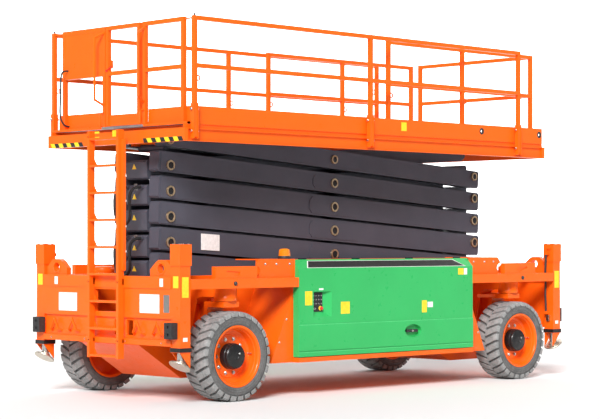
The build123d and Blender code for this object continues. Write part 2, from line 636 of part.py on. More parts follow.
def knuckle():
    """Front left yoke, kingpin, steering leg, spindle and steering arm, its X measured from the axle."""
    yoke = block((-110, 110), (LEG_Y[0], KINGPIN_Y + 90), YOKE_Z)
    pin = rod("Z", (0, KINGPIN_Y), KINGPIN_R, YOKE_Z[0], HOUSING_Z[1] - 100)
    leg = prism("Y", [(-110, YOKE_Z[1]), (110, YOKE_Z[1]), (140, TYRE_R + 60), (90, TYRE_R - 140),
                      (-90, TYRE_R - 140), (-140, TYRE_R + 60)], *LEG_Y)
    disc_back = WHEEL_Y + TYRE_W / 2 - DISC_DEPTH - DISC_T
    spindle = rod("Y", (0, TYRE_R), SPINDLE_R, LEG_Y[1] - 5, disc_back - WHEEL_GAP, sides=FEW_SIDES)
    arm = prism("Z", [(-90, LEG_Y[0]), (-90, LEG_Y[0] + 120), (-STEER_ARM_X, LEG_Y[0] + 40),
                      (-STEER_ARM_X - 35, LEG_Y[0] + 10), (-STEER_ARM_X, LEG_Y[0] - 15)], *STEER_ARM_Z)
    return yoke + pin + leg + spindle + arm


# ---------------------------------------------------------------- scissor stack
def arm_outline(level, rising):
    """Side view of an arm about its middle; rising arms climb towards +X."""
    height = ARM_TABLE[level][0]
    half = ARM_L / 2
    slope = (1 if rising else -1) * END_OFFSET / half
    left = -half - REAR_REACH
    right = half + FRONT_REACH
    return [(left, slope * left - height / 2), (right, slope * right - height / 2),
            (right, slope * right + height / 2), (left, slope * left + height / 2)]


def place_arm(part, level, rising):
    z = BASE_Z + (level - 0.5) * PITCH
    return Pos(STACK_X, 0, z) * Rot(0, -TILT if rising else TILT, 0) * part


def top_taper(part, level, rising):
    """Top-level arms thin down to a round lug at the platform, to swing under its deck."""
    if level != LEVELS:
        return part
    pin_x = ARM_L / 2 if rising else -ARM_L / 2
    inward = -1 if rising else 1
    radius = TOP_LUG_R["inner" if rising else "outer"]
    run, rise = (1250, 128) if rising else (500, 132)
    past = pin_x - inward * 400
    cut = [(pin_x + inward * run, 300), (pin_x + inward * run, rise), (pin_x, radius), (past, radius),
           (past, 300)]
    part -= prism("Y", cut, -500, 500)
    nose = prism("Y", [(pin_x, -300), (past, -300), (past, 300), (pin_x, 300)], -500, 500)
    return part - (nose - rod("Y", (pin_x, 0), radius, -500, 500, sides=2 * FEW_SIDES))


def inner_arm(level):
    """Two side beams, boxed together towards both ends; the middle lies open for the cylinders."""
    half = ARM_L / 2
    outline = arm_outline(level, True)
    arm = both_sides(prism("Y", outline, *INNER_Y, corner=ARM_CORNER))
    for x0, x1 in ((-half - REAR_REACH, -INNER_SLOT), (INNER_SLOT, half + FRONT_REACH)):
        closing = prism("Y", outline, -INNER_Y[0], INNER_Y[0], corner=ARM_CORNER)
        arm += closing & block((x0, x1), (-200, 200), (-400, 400))
    arm = top_taper(arm, level, True)
    # Pins of the outer arms one level down, of this level and one level up.
    for x, pin_level in ((-half, max(level - 1, 1)), (0, level), (half, level + 1)):
        if pin_level <= LEVELS:
            radius = ARM_TABLE[pin_level][1] + PIN_CLEAR
            arm -= rod("Y", (x, 0), radius, -300, 300, sides=FEW_SIDES, fits=True)
    if level in HOSE_LEVELS.values():
        for y in FITTING_Y:
            arm += rod("X", (y, FITTING_Z), FITTING_R, -half - REAR_REACH - FITTING_L, -half - REAR_REACH + 5,
                       sides=FEW_SIDES)
    return arm


def doublers(level):
    """Plates welded on the right outer beam's side around its middle and rear pins."""
    if level not in DOUBLER_TABLE:
        return []
    length, height, top_reach, low_reach = DOUBLER_TABLE[level]
    arm_height = ARM_TABLE[level][0]
    face = (OUTER_Y[1] - 1, OUTER_Y[1] + DOUBLER_T)
    tip = height / 4
    middle = [(-length / 2, -tip), (-length / 2 + height / 2 - tip, -height / 2),
              (length / 2 - height / 2 + tip, -height / 2), (length / 2, -tip), (length / 2, tip),
              (length / 2 - height / 2 + tip, height / 2), (-length / 2 + height / 2 - tip, height / 2),
              (-length / 2, tip)]
    pin_x = -ARM_L / 2
    mid_z = END_OFFSET
    edge = arm_height / 2 - 12
    rear = [(pin_x - REAR_REACH + 30, mid_z - edge), (pin_x + low_reach, mid_z - edge),
            (pin_x + (top_reach + low_reach) / 2 + 20, mid_z), (pin_x + top_reach, mid_z + edge),
            (pin_x - REAR_REACH + 30, mid_z + edge)]
    return [prism("Y", middle, *face), prism("Y", rear, *face)]


def outer_arm(level):
    """Two side beams joined by their pins, whose ends stand proud; bored where a pin is another piece."""
    half = ARM_L / 2
    side = prism("Y", arm_outline(level, False), *OUTER_Y, corner=ARM_CORNER)
    for plate in doublers(level):
        side += plate
    face = OUTER_Y[1] + BOSS
    radius = ARM_TABLE[level][1]
    loose_pins = {1: half, LEVELS: -half}
    pins = [x for x in (-half, 0, half) if x != loose_pins.get(level)]
    for x in pins:
        side += rod("Y", (x, 0), radius, OUTER_Y[1] - 10, face, sides=FEW_SIDES)
    arm = top_taper(both_sides(side), level, False)
    for x in pins:
        arm += rod("Y", (x, 0), radius, -OUTER_Y[0] - 5, OUTER_Y[0] + 5, sides=FEW_SIDES if x > 0 else 0)
    if level in loose_pins:
        arm -= rod("Y", (loose_pins[level], 0), radius + PIN_CLEAR, -500, 500, sides=FEW_SIDES, fits=True)
    return arm


def roller_axle():
    """Axle through the lowest arm's front end, with the rollers that run on the tracks."""
    x = ARM_L / 2
    outside = OUTER_Y[1] + ROLLER_W
    axle = rod("Y", (x, 0), ARM_TABLE[1][1], -outside, outside, sides=FEW_SIDES)
    return axle + both_sides(rod("Y", (x, 0), ROLLER_R, OUTER_Y[1] + PIN_CLEAR, outside, sides=2 * FEW_SIDES))


def save_arms():
    half = ARM_L / 2
    for level in range(1, LEVELS + 1):
        inner = inner_arm(level)
        outer = outer_arm(level)
        if level == 1:
            outer += roller_axle()
        if level == LEVELS:
            inner += rod("Y", (half, 0), ROLLER_R, -INNER_Y[1], INNER_Y[1], sides=2 * FEW_SIDES)
        if level in CYL_LEVELS:
            inner += rod("Y", (CYL_EYE, 0), CYL_PIN_R, -INNER_Y[0] - 10, INNER_Y[0] + 10)
        save(f"inner_arm_{level}", place_arm(inner, level, True))
        save(f"outer_arm_{level}", place_arm(outer, level, False))


def arm_hose(level):
    """Hose that leaves an inner arm's closed rear end, hangs in a loop and returns to it."""
    x = -ARM_L / 2 - REAR_REACH - FITTING_L
    y0, y1 = FITTING_Y
    z = FITTING_Z
    plane = x - HOSE_REACH
    half = [(x, z), (x - 95, z), (plane, z - 68), (plane - 8, z - 215), (plane, z - 330)]
    down = [(px, y0 - 6 if px < plane else y0, pz) for px, pz in half]
    up = [(px, y1 + 6 if px < plane else y1, pz) for px, pz in reversed(half)]
    bottom = z - 330 - HOSE_CORNER
    route = down + [(plane, y0 + HOSE_CORNER, bottom), (plane, y1 - HOSE_CORNER, bottom)] + up
    return place_arm(hose(f"hose of inner arm {level}", route, ARM_HOSE_R), level, True)


def save_cylinders():
    """Each lies between the side beams of two inner arms, one level apart."""
    angle = math.radians(TILT)
    eye_gap = INNER_Y[0] - CLEAR
    for number, level in enumerate(CYL_LEVELS, 1):
        run = CYL_EYE * math.cos(angle)
        rise = CYL_EYE * math.sin(angle)
        base = (STACK_X + run, BASE_Z + (level - 0.5) * PITCH + rise)
        tip = (STACK_X - run, BASE_Z + (level + 0.5) * PITCH - rise)
        length = math.dist(base, tip)
        turn = -math.degrees(math.atan2(tip[1] - base[1], tip[0] - base[0]))

        def lay(part):
            return Pos(base[0], 0, base[1]) * Rot(0, turn, 0) * part

        barrel = rod("X", (0, 0), BARREL_R, 60, length - 130, sides=FEW_SIDES)
        barrel += rod("Y", (0, 0), EYE_R, -EYE_W / 2, EYE_W / 2, sides=FEW_SIDES)
        barrel += block((0, 80), (-EYE_W / 2, EYE_W / 2), (-EYE_R + 5, EYE_R - 5))
        barrel -= rod("Y", (0, 0), CYL_PIN_R + PIN_CLEAR, -EYE_W, EYE_W, sides=FEW_SIDES, fits=True)
        barrel -= rod("X", (0, 0), ROD_R + 2, 120, length, sides=FEW_SIDES, fits=True)
        piston = rod("X", (0, 0), ROD_R, 160, length - 30, sides=FEW_SIDES)
        piston += rod("Y", (length, 0), EYE_R - 5, -EYE_W / 2, EYE_W / 2, sides=FEW_SIDES)
        piston += rod("Y", (length, 0), CYL_PIN_R, -eye_gap, eye_gap, sides=FEW_SIDES)
        piston += block((length - 60, length), (-ROD_R + 3, ROD_R - 3), (-ROD_R + 3, ROD_R - 3))
        save(f"lift_barrel_{number}", lay(barrel))
        save(f"lift_rod_{number}", lay(piston))


# ---------------------------------------------------------------- platform
def platform_frame():
    """Perimeter channels, cross members, roller tracks and the rear pin's lugs."""
    inside_x = (FRAME_X[0] + FRAME_T, FRAME_X[1] - FRAME_T)
    inside_y = (-FRAME_Y + FRAME_T, FRAME_Y - FRAME_T)
    frame = block(FRAME_X, (-FRAME_Y, FRAME_Y), FRAME_Z)
    frame -= block(inside_x, inside_y, (FRAME_Z[0] - 10, FRAME_Z[1] + 10))
    # The side channels' open faces look outwards.
    web = (FRAME_Y - FRAME_T / 2, FRAME_Y + 1)
    frame -= both_sides(block((FRAME_X[0] + FRAME_T, FRAME_X[1] - FRAME_T), web,
                              (FRAME_Z[0] + FRAME_LIP, FRAME_Z[1] - FRAME_LIP)))
    for x in CROSS_X:
        frame += block((x, x + CROSS_W), inside_y, (DECK_Z[0] - 30, DECK_Z[0]))
    frame += both_sides(block((FRAME_X[0] + 20, FRAME_X[1] - 20), (FRAME_Y - FRAME_T, FRAME_Y - 30),
                              (FRAME_Z[1] - 10, DECK_Z[0])))
    # Roller tracks under the deck for the front of the top inner arm, and lugs at its fixed rear pin.
    rail_z = BASE_Z + LEVELS * PITCH + ROLLER_R + ROLLER_GAP
    frame += both_sides(block((TRACK_REAR_X, FRAME_X[1] - FRAME_T), (100, 170), (rail_z, DECK_Z[0])))
    pin_x = STACK_X - HALF_SPAN
    pin_z = BASE_Z + LEVELS * PITCH
    lug_y = (INNER_Y[1] + 8, OUTER_Y[0] - CLEAR)
    frame += both_sides(block((pin_x - 60, pin_x + 60), lug_y, (pin_z - 55, DECK_Z[0])))
    return frame + rod("Y", (pin_x, pin_z), ARM_TABLE[LEVELS][1], -OUTER_Y[1] - BOSS, OUTER_Y[1] + BOSS)


def platform_deck():
    return block((FRAME_X[0] + 60, TOE_FRONT_X), (-DECK_Y, DECK_Y), DECK_Z)


def toe_boards():
    """Left, right and rear boards, each a piece of its own."""
    side = block((REAR_X + REAR_TOE_X[1] + 4, TOE_FRONT_X), (DECK_Y, DECK_Y + TOE_T), (DECK_Z[0], TOE_TOP_Z))
    for x in TOE_HOLES_X:
        side -= rod("Y", (x, TOE_HOLE_Z), TOE_HOLE_R, DECK_Y - 5, DECK_Y + TOE_T + 5, sides=FEW_SIDES)
    boards = both_sides(side)
    for y in ((GATE_POSTS_Y[1] + RAIL_W / 2, DECK_Y), (-DECK_Y, GATE_POSTS_Y[0] - RAIL_W / 2)):
        boards += block((REAR_X + REAR_TOE_X[0], REAR_X + REAR_TOE_X[1]), y, (DECK_Z[1], TOE_TOP_Z))
    return boards


def rail_brackets():
    """Cheek plates that hold the side rails' posts, outside the frame and the toe boards."""
    y = (FRAME_Y, SIDE_RAIL_Y + 30)
    plates = None
    for x in SIDE_POSTS_X:
        for cheek in (-1, 1):
            near = x + cheek * (RAIL_W / 2 + 1)
            plate = both_sides(block(span(cheek * near, cheek * near + BRACKET_T, cheek), y, BRACKET_Z))
            plates = plate if plates is None else plates + plate
    return plates


def bar(p, q, width=RAIL_W):
    """Square tube along one axis between two points, its width centred on them."""
    h = width / 2
    lows = [min(a, b) for a, b in zip(p, q)]
    highs = [max(a, b) for a, b in zip(p, q)]
    return block(*[(low - h, high + h) for low, high in zip(lows, highs)])


def eye_loop(x, y, z):
    """Flat eye that stands off a rail, in the plane along it."""
    half = EYE_LOOP / 2
    flat = (y - EYE_T / 2, y + EYE_T / 2)
    eye = prism("Y", rectangle((x, x + EYE_LOOP), (z - half, z + half)), *flat, corner=EYE_LOOP / 4)
    inside_z = (z - half + EYE_WALL, z + half - EYE_WALL)
    return eye - block((x + EYE_WALL, x + EYE_LOOP - EYE_WALL), flat, inside_z)


def side_rail():
    """Left folding rail: top and middle tubes, three posts and the eyes beside them."""
    y = SIDE_RAIL_Y
    top = RAIL_TOP_Z - RAIL_W / 2
    rail = bar((SIDE_POSTS_X[0], y, top), (SIDE_POSTS_X[2], y, top))
    rail += bar((SIDE_POSTS_X[0], y, MID_RAIL_Z), (SIDE_POSTS_X[2], y, MID_RAIL_Z))
    for x in SIDE_POSTS_X:
        rail += bar((x, y, BRACKET_Z[0] + 40), (x, y, top))
    for x in SIDE_POSTS_X[:2]:
        rail += eye_loop(x + RAIL_W / 2 - 3, y, MID_RAIL_Z - EYE_DROP)
    return rail


def grab_bar(y, outward):
    """Tall bent bar on a gate post."""
    x = REAR_X - RAIL_W / 2 + 5
    return bent_bar([(x, y, GRAB_Z[0]), (x - GRAB_REACH, y + outward * 30, GRAB_Z[0] + 60),
                     (x - GRAB_REACH, y + outward * 30, GRAB_Z[1] - 60), (x, y, GRAB_Z[1])], TUBE_R)


def rear_rail():
    """Rear rails on both sides of the gate, the plate that carries the controls, and the grab bars."""
    top = RAIL_TOP_Z - RAIL_W / 2
    foot = DECK_Z[1] + RAIL_W / 2
    x = REAR_X
    rail = None
    for near, far in ((GATE_POSTS_Y[1], PANEL_Y[1]), (GATE_POSTS_Y[0], -REAR_END_Y)):
        half = bar((x, near, foot), (x, near, top)) + bar((x, far, foot), (x, far, top))
        half += bar((x, near, top), (x, far, top)) + bar((x, near, MID_RAIL_Z), (x, far, MID_RAIL_Z))
        half += grab_bar(near, 1 if near > 0 else -1)
        rail = half if rail is None else rail + half
    return rail + block((x - PANEL_T - 8, x - 8), PANEL_Y, PANEL_Z)


def gate():
    """Half-height gate between its posts, with a kick plate and a latch."""
    x = REAR_X
    top = RAIL_TOP_Z - RAIL_W / 2
    y0 = GATE_Y[0] + RAIL_W / 2
    y1 = GATE_Y[1] - RAIL_W / 2
    low = DECK_Z[1] + 30
    frame = bar((x, y0, low), (x, y0, top)) + bar((x, y1, low), (x, y1, top))
    frame += bar((x, y0, top), (x, y1, top)) + bar((x, y0, MID_RAIL_Z), (x, y1, MID_RAIL_Z))
    frame += block((x - 6, x + 6), (y0, y1), (DECK_Z[1] + 10, DECK_Z[1] + 130))
    face = x + RAIL_W / 2
    return frame + block((face, face + 20), (y1 - 30, y1 + 10), (MID_RAIL_Z + 60, MID_RAIL_Z + 150))


def control_box():
    """Operator's box hung on the panel, its top sloped towards the deck."""
    x = (REAR_X - 8, REAR_X - 8 + BOX_DEPTH)
    points = [(x[0], BOX_Z[0]), (x[1] - 30, BOX_Z[0]), (x[1], BOX_Z[0] + 60), (x[1], BOX_Z[1] - 120),
              (x[0], BOX_Z[1])]
    return prism("Y", points, *BOX_Y)


def control_cable():
    """From the panel's back down to the rear toe board."""
    x = REAR_X
    y = 930
    route = [(x - PANEL_T - 8, y, 3620), (x - 76, y, 3620), (x - 116, y, 3580), (x - 118, y + 6, 3480),
             (x - 110, y + 16, 3330), (x - 114, y + 26, 3180), (x - 100, y + 32, 3085),
             (x - 70, y + 35, 3035), (x - 28, y + 35, 3000), (x + REAR_TOE_X[0], y + 35, 3000)]
    return hose("control cable", route, CABLE_R)


def extension_deck():
    wide = EXT_Y + 60
    deck = block((EXT_X[0], TOE_FRONT_X - 10), (-wide, wide), EXT_DECK_Z)
    return deck + block((TOE_FRONT_X - 22, TOE_FRONT_X - 10), (-wide, wide), (EXT_DECK_Z[0], TOE_TOP_Z))


def extension_rails():
    """Left and right rails of the sliding deck, and its end rail, short of the left one."""
    top = RAIL_TOP_Z - RAIL_W / 2 - EXT_DROP
    low = EXT_DECK_Z[1] + RAIL_W / 2
    x0 = EXT_X[0] + RAIL_W / 2
    x1 = EXT_X[1] - RAIL_W / 2
    side = bar((x0, EXT_Y, top), (x1, EXT_Y, top)) + bar((x0, EXT_Y, MID_RAIL_Z), (x1, EXT_Y, MID_RAIL_Z))
    for x in (x0, (x0 + x1) / 2, x1):
        side += bar((x, EXT_Y, low), (x, EXT_Y, top))
    for x in (x0, (x0 + x1) / 2):
        side += eye_loop(x + RAIL_W / 2 - 3, EXT_Y, MID_RAIL_Z - EYE_DROP)
    rails = both_sides(side)
    for z in (top, MID_RAIL_Z):
        rails += bar((x1, -EXT_Y, z), (x1, END_RAIL_Y, z))
    return rails + bar((x1, END_RAIL_Y, low), (x1, END_RAIL_Y, top))


# ---------------------------------------------------------------- write the nodes
def at_corner(part, end, side):
    """Front left part mirrored to another corner."""
    if end < 0:
        part = mirror(part, Plane.YZ)
    if side < 0:
        part = mirror(part, Plane.XZ)
    return part


def at_all_corners(part):
    return both_ends(both_sides(part))


def save_wheels():
    plain_tyre = wheel_ring(tyre_segment())
    plain_rim = rim()
    for name, (end, side) in CORNERS.items():
        centre = Pos(end * AXLE_X, side * WHEEL_Y, TYRE_R)
        save(f"{name}_tyre", centre * plain_tyre)
        save(f"{name}_rim", centre * (plain_rim if side > 0 else mirror(plain_rim, Plane.XZ)))
        save(f"{name}_knuckle", at_corner(Pos(AXLE_X, 0, 0) * knuckle(), end, side))
        save(f"{name}_jack_leg", jack_leg(end, side))


os.makedirs("parts", exist_ok=True)

save("main_frame", main_frame())
save("roller_tracks", roller_tracks())
save("belly_pan", belly_pan())
save("axle_arms", at_all_corners(axle_arm()))
save("end_frames", both_ends(end_frame()))
save("jack_posts", at_all_corners(jack_post()))
save("post_hoses", at_all_corners(post_hose()))
save("buffers", at_all_corners(buffer()))
save("side_beams", at_all_corners(side_beam()))
save("ladder", ladder())
save("power_units", power_units())
save("beacon", beacon())
save("equipment_boxes", both_sides(equipment_box()))
save("left_cover", cover())
save("right_cover", mirror(cover(), Plane.XZ))
save_wheels()
save_arms()
save_cylinders()
for name, level in HOSE_LEVELS.items():
    save(name, arm_hose(level))
save("platform_frame", platform_frame())
save("platform_deck", platform_deck())
save("toe_boards", toe_boards())
save("rail_brackets", rail_brackets())
save("side_rails", both_sides(side_rail()))
save("rear_rail", rear_rail())
save("gate", gate())
save("control_box", control_box())
save("control_cable", control_cable())
save("extension_deck", extension_deck())
save("extension_rails", extension_rails())
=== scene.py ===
import json
import math

import bmesh
import bpy
from mathutils import Matrix, Vector


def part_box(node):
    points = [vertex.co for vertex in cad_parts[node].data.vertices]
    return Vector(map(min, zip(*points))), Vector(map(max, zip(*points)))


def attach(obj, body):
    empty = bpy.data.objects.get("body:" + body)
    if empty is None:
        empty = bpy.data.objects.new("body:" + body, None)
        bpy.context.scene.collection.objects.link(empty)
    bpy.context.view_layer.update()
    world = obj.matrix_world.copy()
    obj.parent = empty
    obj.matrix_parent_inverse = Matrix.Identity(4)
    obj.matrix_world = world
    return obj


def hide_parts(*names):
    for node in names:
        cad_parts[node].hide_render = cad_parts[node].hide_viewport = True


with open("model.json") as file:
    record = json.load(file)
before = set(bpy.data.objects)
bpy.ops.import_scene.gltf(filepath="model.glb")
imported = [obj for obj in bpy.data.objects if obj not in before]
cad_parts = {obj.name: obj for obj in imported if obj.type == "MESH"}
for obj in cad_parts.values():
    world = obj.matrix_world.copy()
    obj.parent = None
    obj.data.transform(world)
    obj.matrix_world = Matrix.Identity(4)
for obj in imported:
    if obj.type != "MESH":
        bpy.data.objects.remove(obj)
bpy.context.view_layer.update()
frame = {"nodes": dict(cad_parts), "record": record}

# Metres. +X is the extension's end, -X the ladder's end, +Y the left side, +Z up.

# Name of each corner, with its end (-1 rear) and its side (-1 right).
CORNERS = {"rear_right": (-1, -1), "rear_left": (-1, 1), "front_right": (1, -1), "front_left": (1, 1)}
SIDES = {1: "left", -1: "right"}
ARM_LEVELS = 6
FILM_LIFT = 0.0012      # films stand this far off their faces
PLATE_T = 0.002
JOINTS = {joint["name"]: joint for joint in frame["record"]["behaviour"]["joints"]}
SLOT_OF = {part["node"]: part["material_slot"] for part in frame["record"]["subparts"]}


def joint_place(name):
    return Vector(JOINTS[name]["pos_m"])


def middle(node):
    low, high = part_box(node)
    return (low + high) / 2


# -------- materials
def set_inputs(tree, node, inputs):
    """Gives each named input its number or colour, or links it to the socket that feeds it."""
    for name, value in inputs.items():
        if isinstance(value, bpy.types.NodeSocket):
            tree.links.new(value, node.inputs[name])
        else:
            node.inputs[name].default_value = value


def add_node(tree, kind, inputs=None):
    node = tree.nodes.new(f"ShaderNode{kind}")
    set_inputs(tree, node, inputs or {})
    return node


def new_material(name, colour, roughness, metallic=0.0, coat=0.0):
    """Material with its plain values on the shader; returns it with its tree and shader."""
    mat = bpy.data.materials.new(name)
    mat.use_nodes = True
    tree = mat.node_tree
    shader = tree.nodes["Principled BSDF"]
    set_inputs(tree, shader, {"Base Color": (*colour, 1), "Roughness": roughness, "Metallic": metallic,
                              "Coat Weight": coat, "Coat Roughness": 0.12})
    return mat, tree, shader


def plain_colour(tree, colour):
    node = add_node(tree, "RGB")
    node.outputs[0].default_value = (*colour, 1)
    return node.outputs[0]


def coordinates(tree):
    return add_node(tree, "TexCoord").outputs["Object"]


def noise(tree, scale, detail=4.0, roughness=0.6):
    return add_node(tree, "TexNoise", {"Scale": scale, "Detail": detail, "Roughness": roughness,
                                       "Vector": coordinates(tree)}).outputs["Fac"]


def ramp(tree, value, low, high, dark, light):
    """Colour that goes from dark to light as the value goes from low to high."""
    node = add_node(tree, "ValToRGB", {"Fac": value})
    for element, position, colour in zip(node.color_ramp.elements, (low, high), (dark, light)):
        element.position = position
        element.color = (*colour, 1)
    return node.outputs["Color"]


def mix(tree, factor, first, second):
    node = add_node(tree, "Mix")
    node.data_type = "RGBA"
    set_inputs(tree, node, {"Factor": factor, "A": first, "B": second})
    return node.outputs["Result"]


def map_range(tree, value, low, high, out_low, out_high):
    inputs = {"Value": value, "From Min": low, "From Max": high, "To Min": out_low, "To Max": out_high}
    return add_node(tree, "MapRange", inputs).outputs["Result"]


def bump(tree, shader, height, strength, distance):
    node = add_node(tree, "Bump", {"Strength": strength, "Distance": distance, "Height": height})
    set_inputs(tree, shader, {"Normal": node.outputs["Normal"]})


def combine(tree, operation, first, second):
    node = tree.nodes.new("ShaderNodeMath")
    node.operation = operation
    set_inputs(tree, node, {0: first, 1: second})
    return node.outputs[0]


def paint(name, colour, roughness=0.34, coat=0.1, dust=0.22, shade=0.9):
    """Enamel with faint unevenness, orange peel, and dust that thickens towards the floor."""
    mat, tree, shader = new_material(name, colour, roughness, coat=coat)
    darker = tuple(channel * shade for channel in colour)
    body = ramp(tree, noise(tree, 1.7, 6), 0.3, 0.7, darker, colour)
    dusty = tuple(0.55 * channel + 0.45 * grey for channel, grey in zip(colour, (0.33, 0.28, 0.22)))
    specks = ramp(tree, noise(tree, 7, 8, 0.75), 0.5, 0.8, (0, 0, 0), (1, 1, 1))
    height = add_node(tree, "SeparateXYZ", {"Vector": coordinates(tree)}).outputs["Z"]
    amount = combine(tree, "MULTIPLY", specks, map_range(tree, height, 0.2, 1.5, dust, 0.02))
    rough = map_range(tree, noise(tree, 14, 5), 0.3, 0.8, roughness * 0.8, roughness * 1.45)
    set_inputs(tree, shader, {"Specular IOR Level": 0.25, "Roughness": rough,
                              "Base Color": mix(tree, amount, body, plain_colour(tree, dusty))})
    bump(tree, shader, noise(tree, 260, 2), 0.035, 0.001)
    return mat


def plain_plastic(name, colour, roughness=0.45, grain=420):
    mat, tree, shader = new_material(name, colour, roughness)
    lighter = tuple(min(1, channel * 1.18 + 0.01) for channel in colour)
    set_inputs(tree, shader, {"Base Color": ramp(tree, noise(tree, 30, 5), 0.35, 0.7, colour, lighter)})
    bump(tree, shader, noise(tree, grain, 2), 0.06, 0.0006)
    return mat


def tyre_rubber(name, grey):
    """Dusty rubber; grey is its middle tone."""
    mat, tree, shader = new_material(name, (grey, grey, grey), 0.86)
    dark, light, dusty = (tuple(channel * share * grey for channel in (1, 0.995, 0.98))
                          for share in (0.65, 1.3, 1.9))
    base = ramp(tree, noise(tree, 11, 9, 0.7), 0.32, 0.7, dark, light)
    dust = ramp(tree, noise(tree, 46, 6, 0.8), 0.5, 0.74, (0, 0, 0), (0.55, 0.55, 0.55))
    set_inputs(tree, shader, {"Base Color": mix(tree, dust, base, plain_colour(tree, dusty))})
    bump(tree, shader, noise(tree, 160, 6), 0.25, 0.002)
    return mat


def steel(name, colour=(0.62, 0.61, 0.58), roughness=0.24, streaks=70):
    """Metal with fine drawn streaks."""
    mat, tree, shader = new_material(name, colour, roughness, metallic=1.0)
    drawn = (streaks, streaks, streaks / 14)
    mapping = add_node(tree, "Mapping", {"Scale": drawn, "Vector": coordinates(tree)})
    streak = add_node(tree, "TexNoise", {"Scale": 3, "Vector": mapping.outputs["Vector"]}).outputs["Fac"]
    darker = tuple(channel * 0.72 for channel in colour)
    rough = map_range(tree, streak, 0.3, 0.7, roughness * 0.7, roughness * 1.5)
    tone = ramp(tree, streak, 0.35, 0.65, darker, colour)
    set_inputs(tree, shader, {"Base Color": tone, "Roughness": rough})
    return mat


def tread_plate():
    """Aluminium deck with a raised pattern of short crossed bars."""
    mat, tree, shader = new_material("deck_plate", (0.52, 0.52, 0.53), 0.42, metallic=0.85)
    heights = []
    for turn in (45, -45):
        mapping = add_node(tree, "Mapping", {"Rotation": (0, 0, math.radians(turn)), "Scale": (16, 42, 1),
                                             "Vector": coordinates(tree)})
        vector = mapping.outputs["Vector"]
        cells = add_node(tree, "TexVoronoi", {"Scale": 1, "Randomness": 0, "Vector": vector})
        heights.append(map_range(tree, cells.outputs["Distance"], 0.22, 0.34, 0.5, 0))
    bump(tree, shader, combine(tree, "ADD", *heights), 0.5, 0.003)
    worn = ramp(tree, noise(tree, 4, 7), 0.35, 0.7, (0.34, 0.34, 0.35), (0.6, 0.6, 0.61))
    set_inputs(tree, shader, {"Base Color": worn})
    return mat


def amber_lens():
    mat, tree, shader = new_material("beacon_lens", (1.0, 0.3, 0.01), 0.12, coat=0.6)
    set_inputs(tree, shader, {"Transmission Weight": 0.35, "Emission Color": (1.0, 0.3, 0.01, 1),
                              "Emission Strength": 0.15})
    return mat


ORANGE = (1.0, 0.135, 0.005)
MATERIALS = {
    "orange_paint": paint("orange_paint", ORANGE),
    "green_paint": paint("green_paint", (0.036, 0.47, 0.122), 0.32, 0.1, 0.1),
    "arm_paint": paint("arm_paint", (0.080, 0.081, 0.106), 0.4, 0.08, 0.05, 0.8),
    "deck_plate": tread_plate(),
    "black_rubber": plain_plastic("black_rubber", (0.018, 0.018, 0.019), 0.6, 300),
    "tyre_rubber": tyre_rubber("tyre_rubber", 0.12),
    "bright_steel": steel("bright_steel"),
    "black_paint": paint("black_paint", (0.014, 0.014, 0.015), 0.4, 0.2, 0.2, 0.7),
    "beacon_lens": amber_lens(),
    "box_plastic": plain_plastic("box_plastic", (0.05, 0.05, 0.055), 0.5, 200),
}
YELLOW = plain_plastic("yellow_film", (0.9, 0.6, 0.015), 0.35, 40)
WHITE = plain_plastic("white_film", (0.78, 0.78, 0.76), 0.35, 40)
BLACK_FILM = plain_plastic("black_film", (0.012, 0.012, 0.013), 0.55, 40)
GREY_PLATE = steel("grey_plate", (0.45, 0.45, 0.44), 0.35)
WORN_RUBBER = tyre_rubber("worn_rubber", 0.26)
BRONZE = steel("bronze", (0.66, 0.48, 0.30), 0.3, 30)
RED = plain_plastic("red_plastic", (0.7, 0.012, 0.008), 0.3, 60)
FOOT_METAL = steel("foot_metal", (0.66, 0.62, 0.52), 0.38, 40)
# Dark green painted as shadow and light green painted as highlight, in lines along the covers' step and
# bottom bead.
PAINTED_SHADE_GREEN = plain_plastic("painted_shade_green", (0.02, 0.25, 0.07), 0.5, 40)
PAINTED_HIGHLIGHT_GREEN = plain_plastic("painted_highlight_green", (0.12, 0.62, 0.24), 0.4, 40)
DARK_FITTING = plain_plastic("dark_fitting", (0.03, 0.03, 0.032), 0.4, 120)


# -------- mesh helpers
AXES = {
    "X": Matrix(((0, 0, 1), (1, 0, 0), (0, 1, 0))),
    "Y": Matrix(((0, 1, 0), (0, 0, 1), (1, 0, 0))),
    "Z": Matrix.Identity(3),
}
BOX_FACES = ((0, 1, 3, 2), (4, 6, 7, 5), (0, 4, 5, 1), (2, 3, 7, 6), (0, 2, 6, 4), (1, 5, 7, 3))
BEVEL_ANGLE = math.radians(40)


def plain_mesh(name, bm):
    bmesh.ops.recalc_face_normals(bm, faces=bm.faces)
    mesh = bpy.data.meshes.new(name)
    bm.to_mesh(mesh)
    bm.free()
    return mesh


def new_object(name, data):
    obj = bpy.data.objects.new(name, data)
    bpy.context.collection.objects.link(obj)
    return obj


def place_mesh(name, mesh, material, body, smooth=35, bevel=0.0):
    """Piece that rides on a body; smooth is the sharpest angle shaded smooth, in degrees."""
    obj = new_object(name, mesh)
    mesh.materials.append(material)
    for face in mesh.polygons:
        face.use_smooth = smooth > 0
    if smooth:
        mesh.set_sharp_from_angle(angle=math.radians(smooth))
    if bevel:
        edges = obj.modifiers.new("edges", "BEVEL")
        edges.width = bevel
        edges.segments = 2
        edges.limit_method = "ANGLE"
        edges.angle_limit = BEVEL_ANGLE
    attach(obj, body)
    return obj


def finish_piece(name, bm, material, body, smooth=35, bevel=0.0):
    """Turns the mesh into a piece that rides on a body."""
    return place_mesh(name, plain_mesh(name, bm), material, body, smooth, bevel)


def finish_slot(name, bm, slot, body, smooth=35, bevel=0.0, node=None):
    """Piece in one of the record's materials, in place of a node where one is named."""
    piece = finish_piece(name, bm, MATERIALS[slot], body, smooth, bevel)
    if node:
        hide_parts(node)


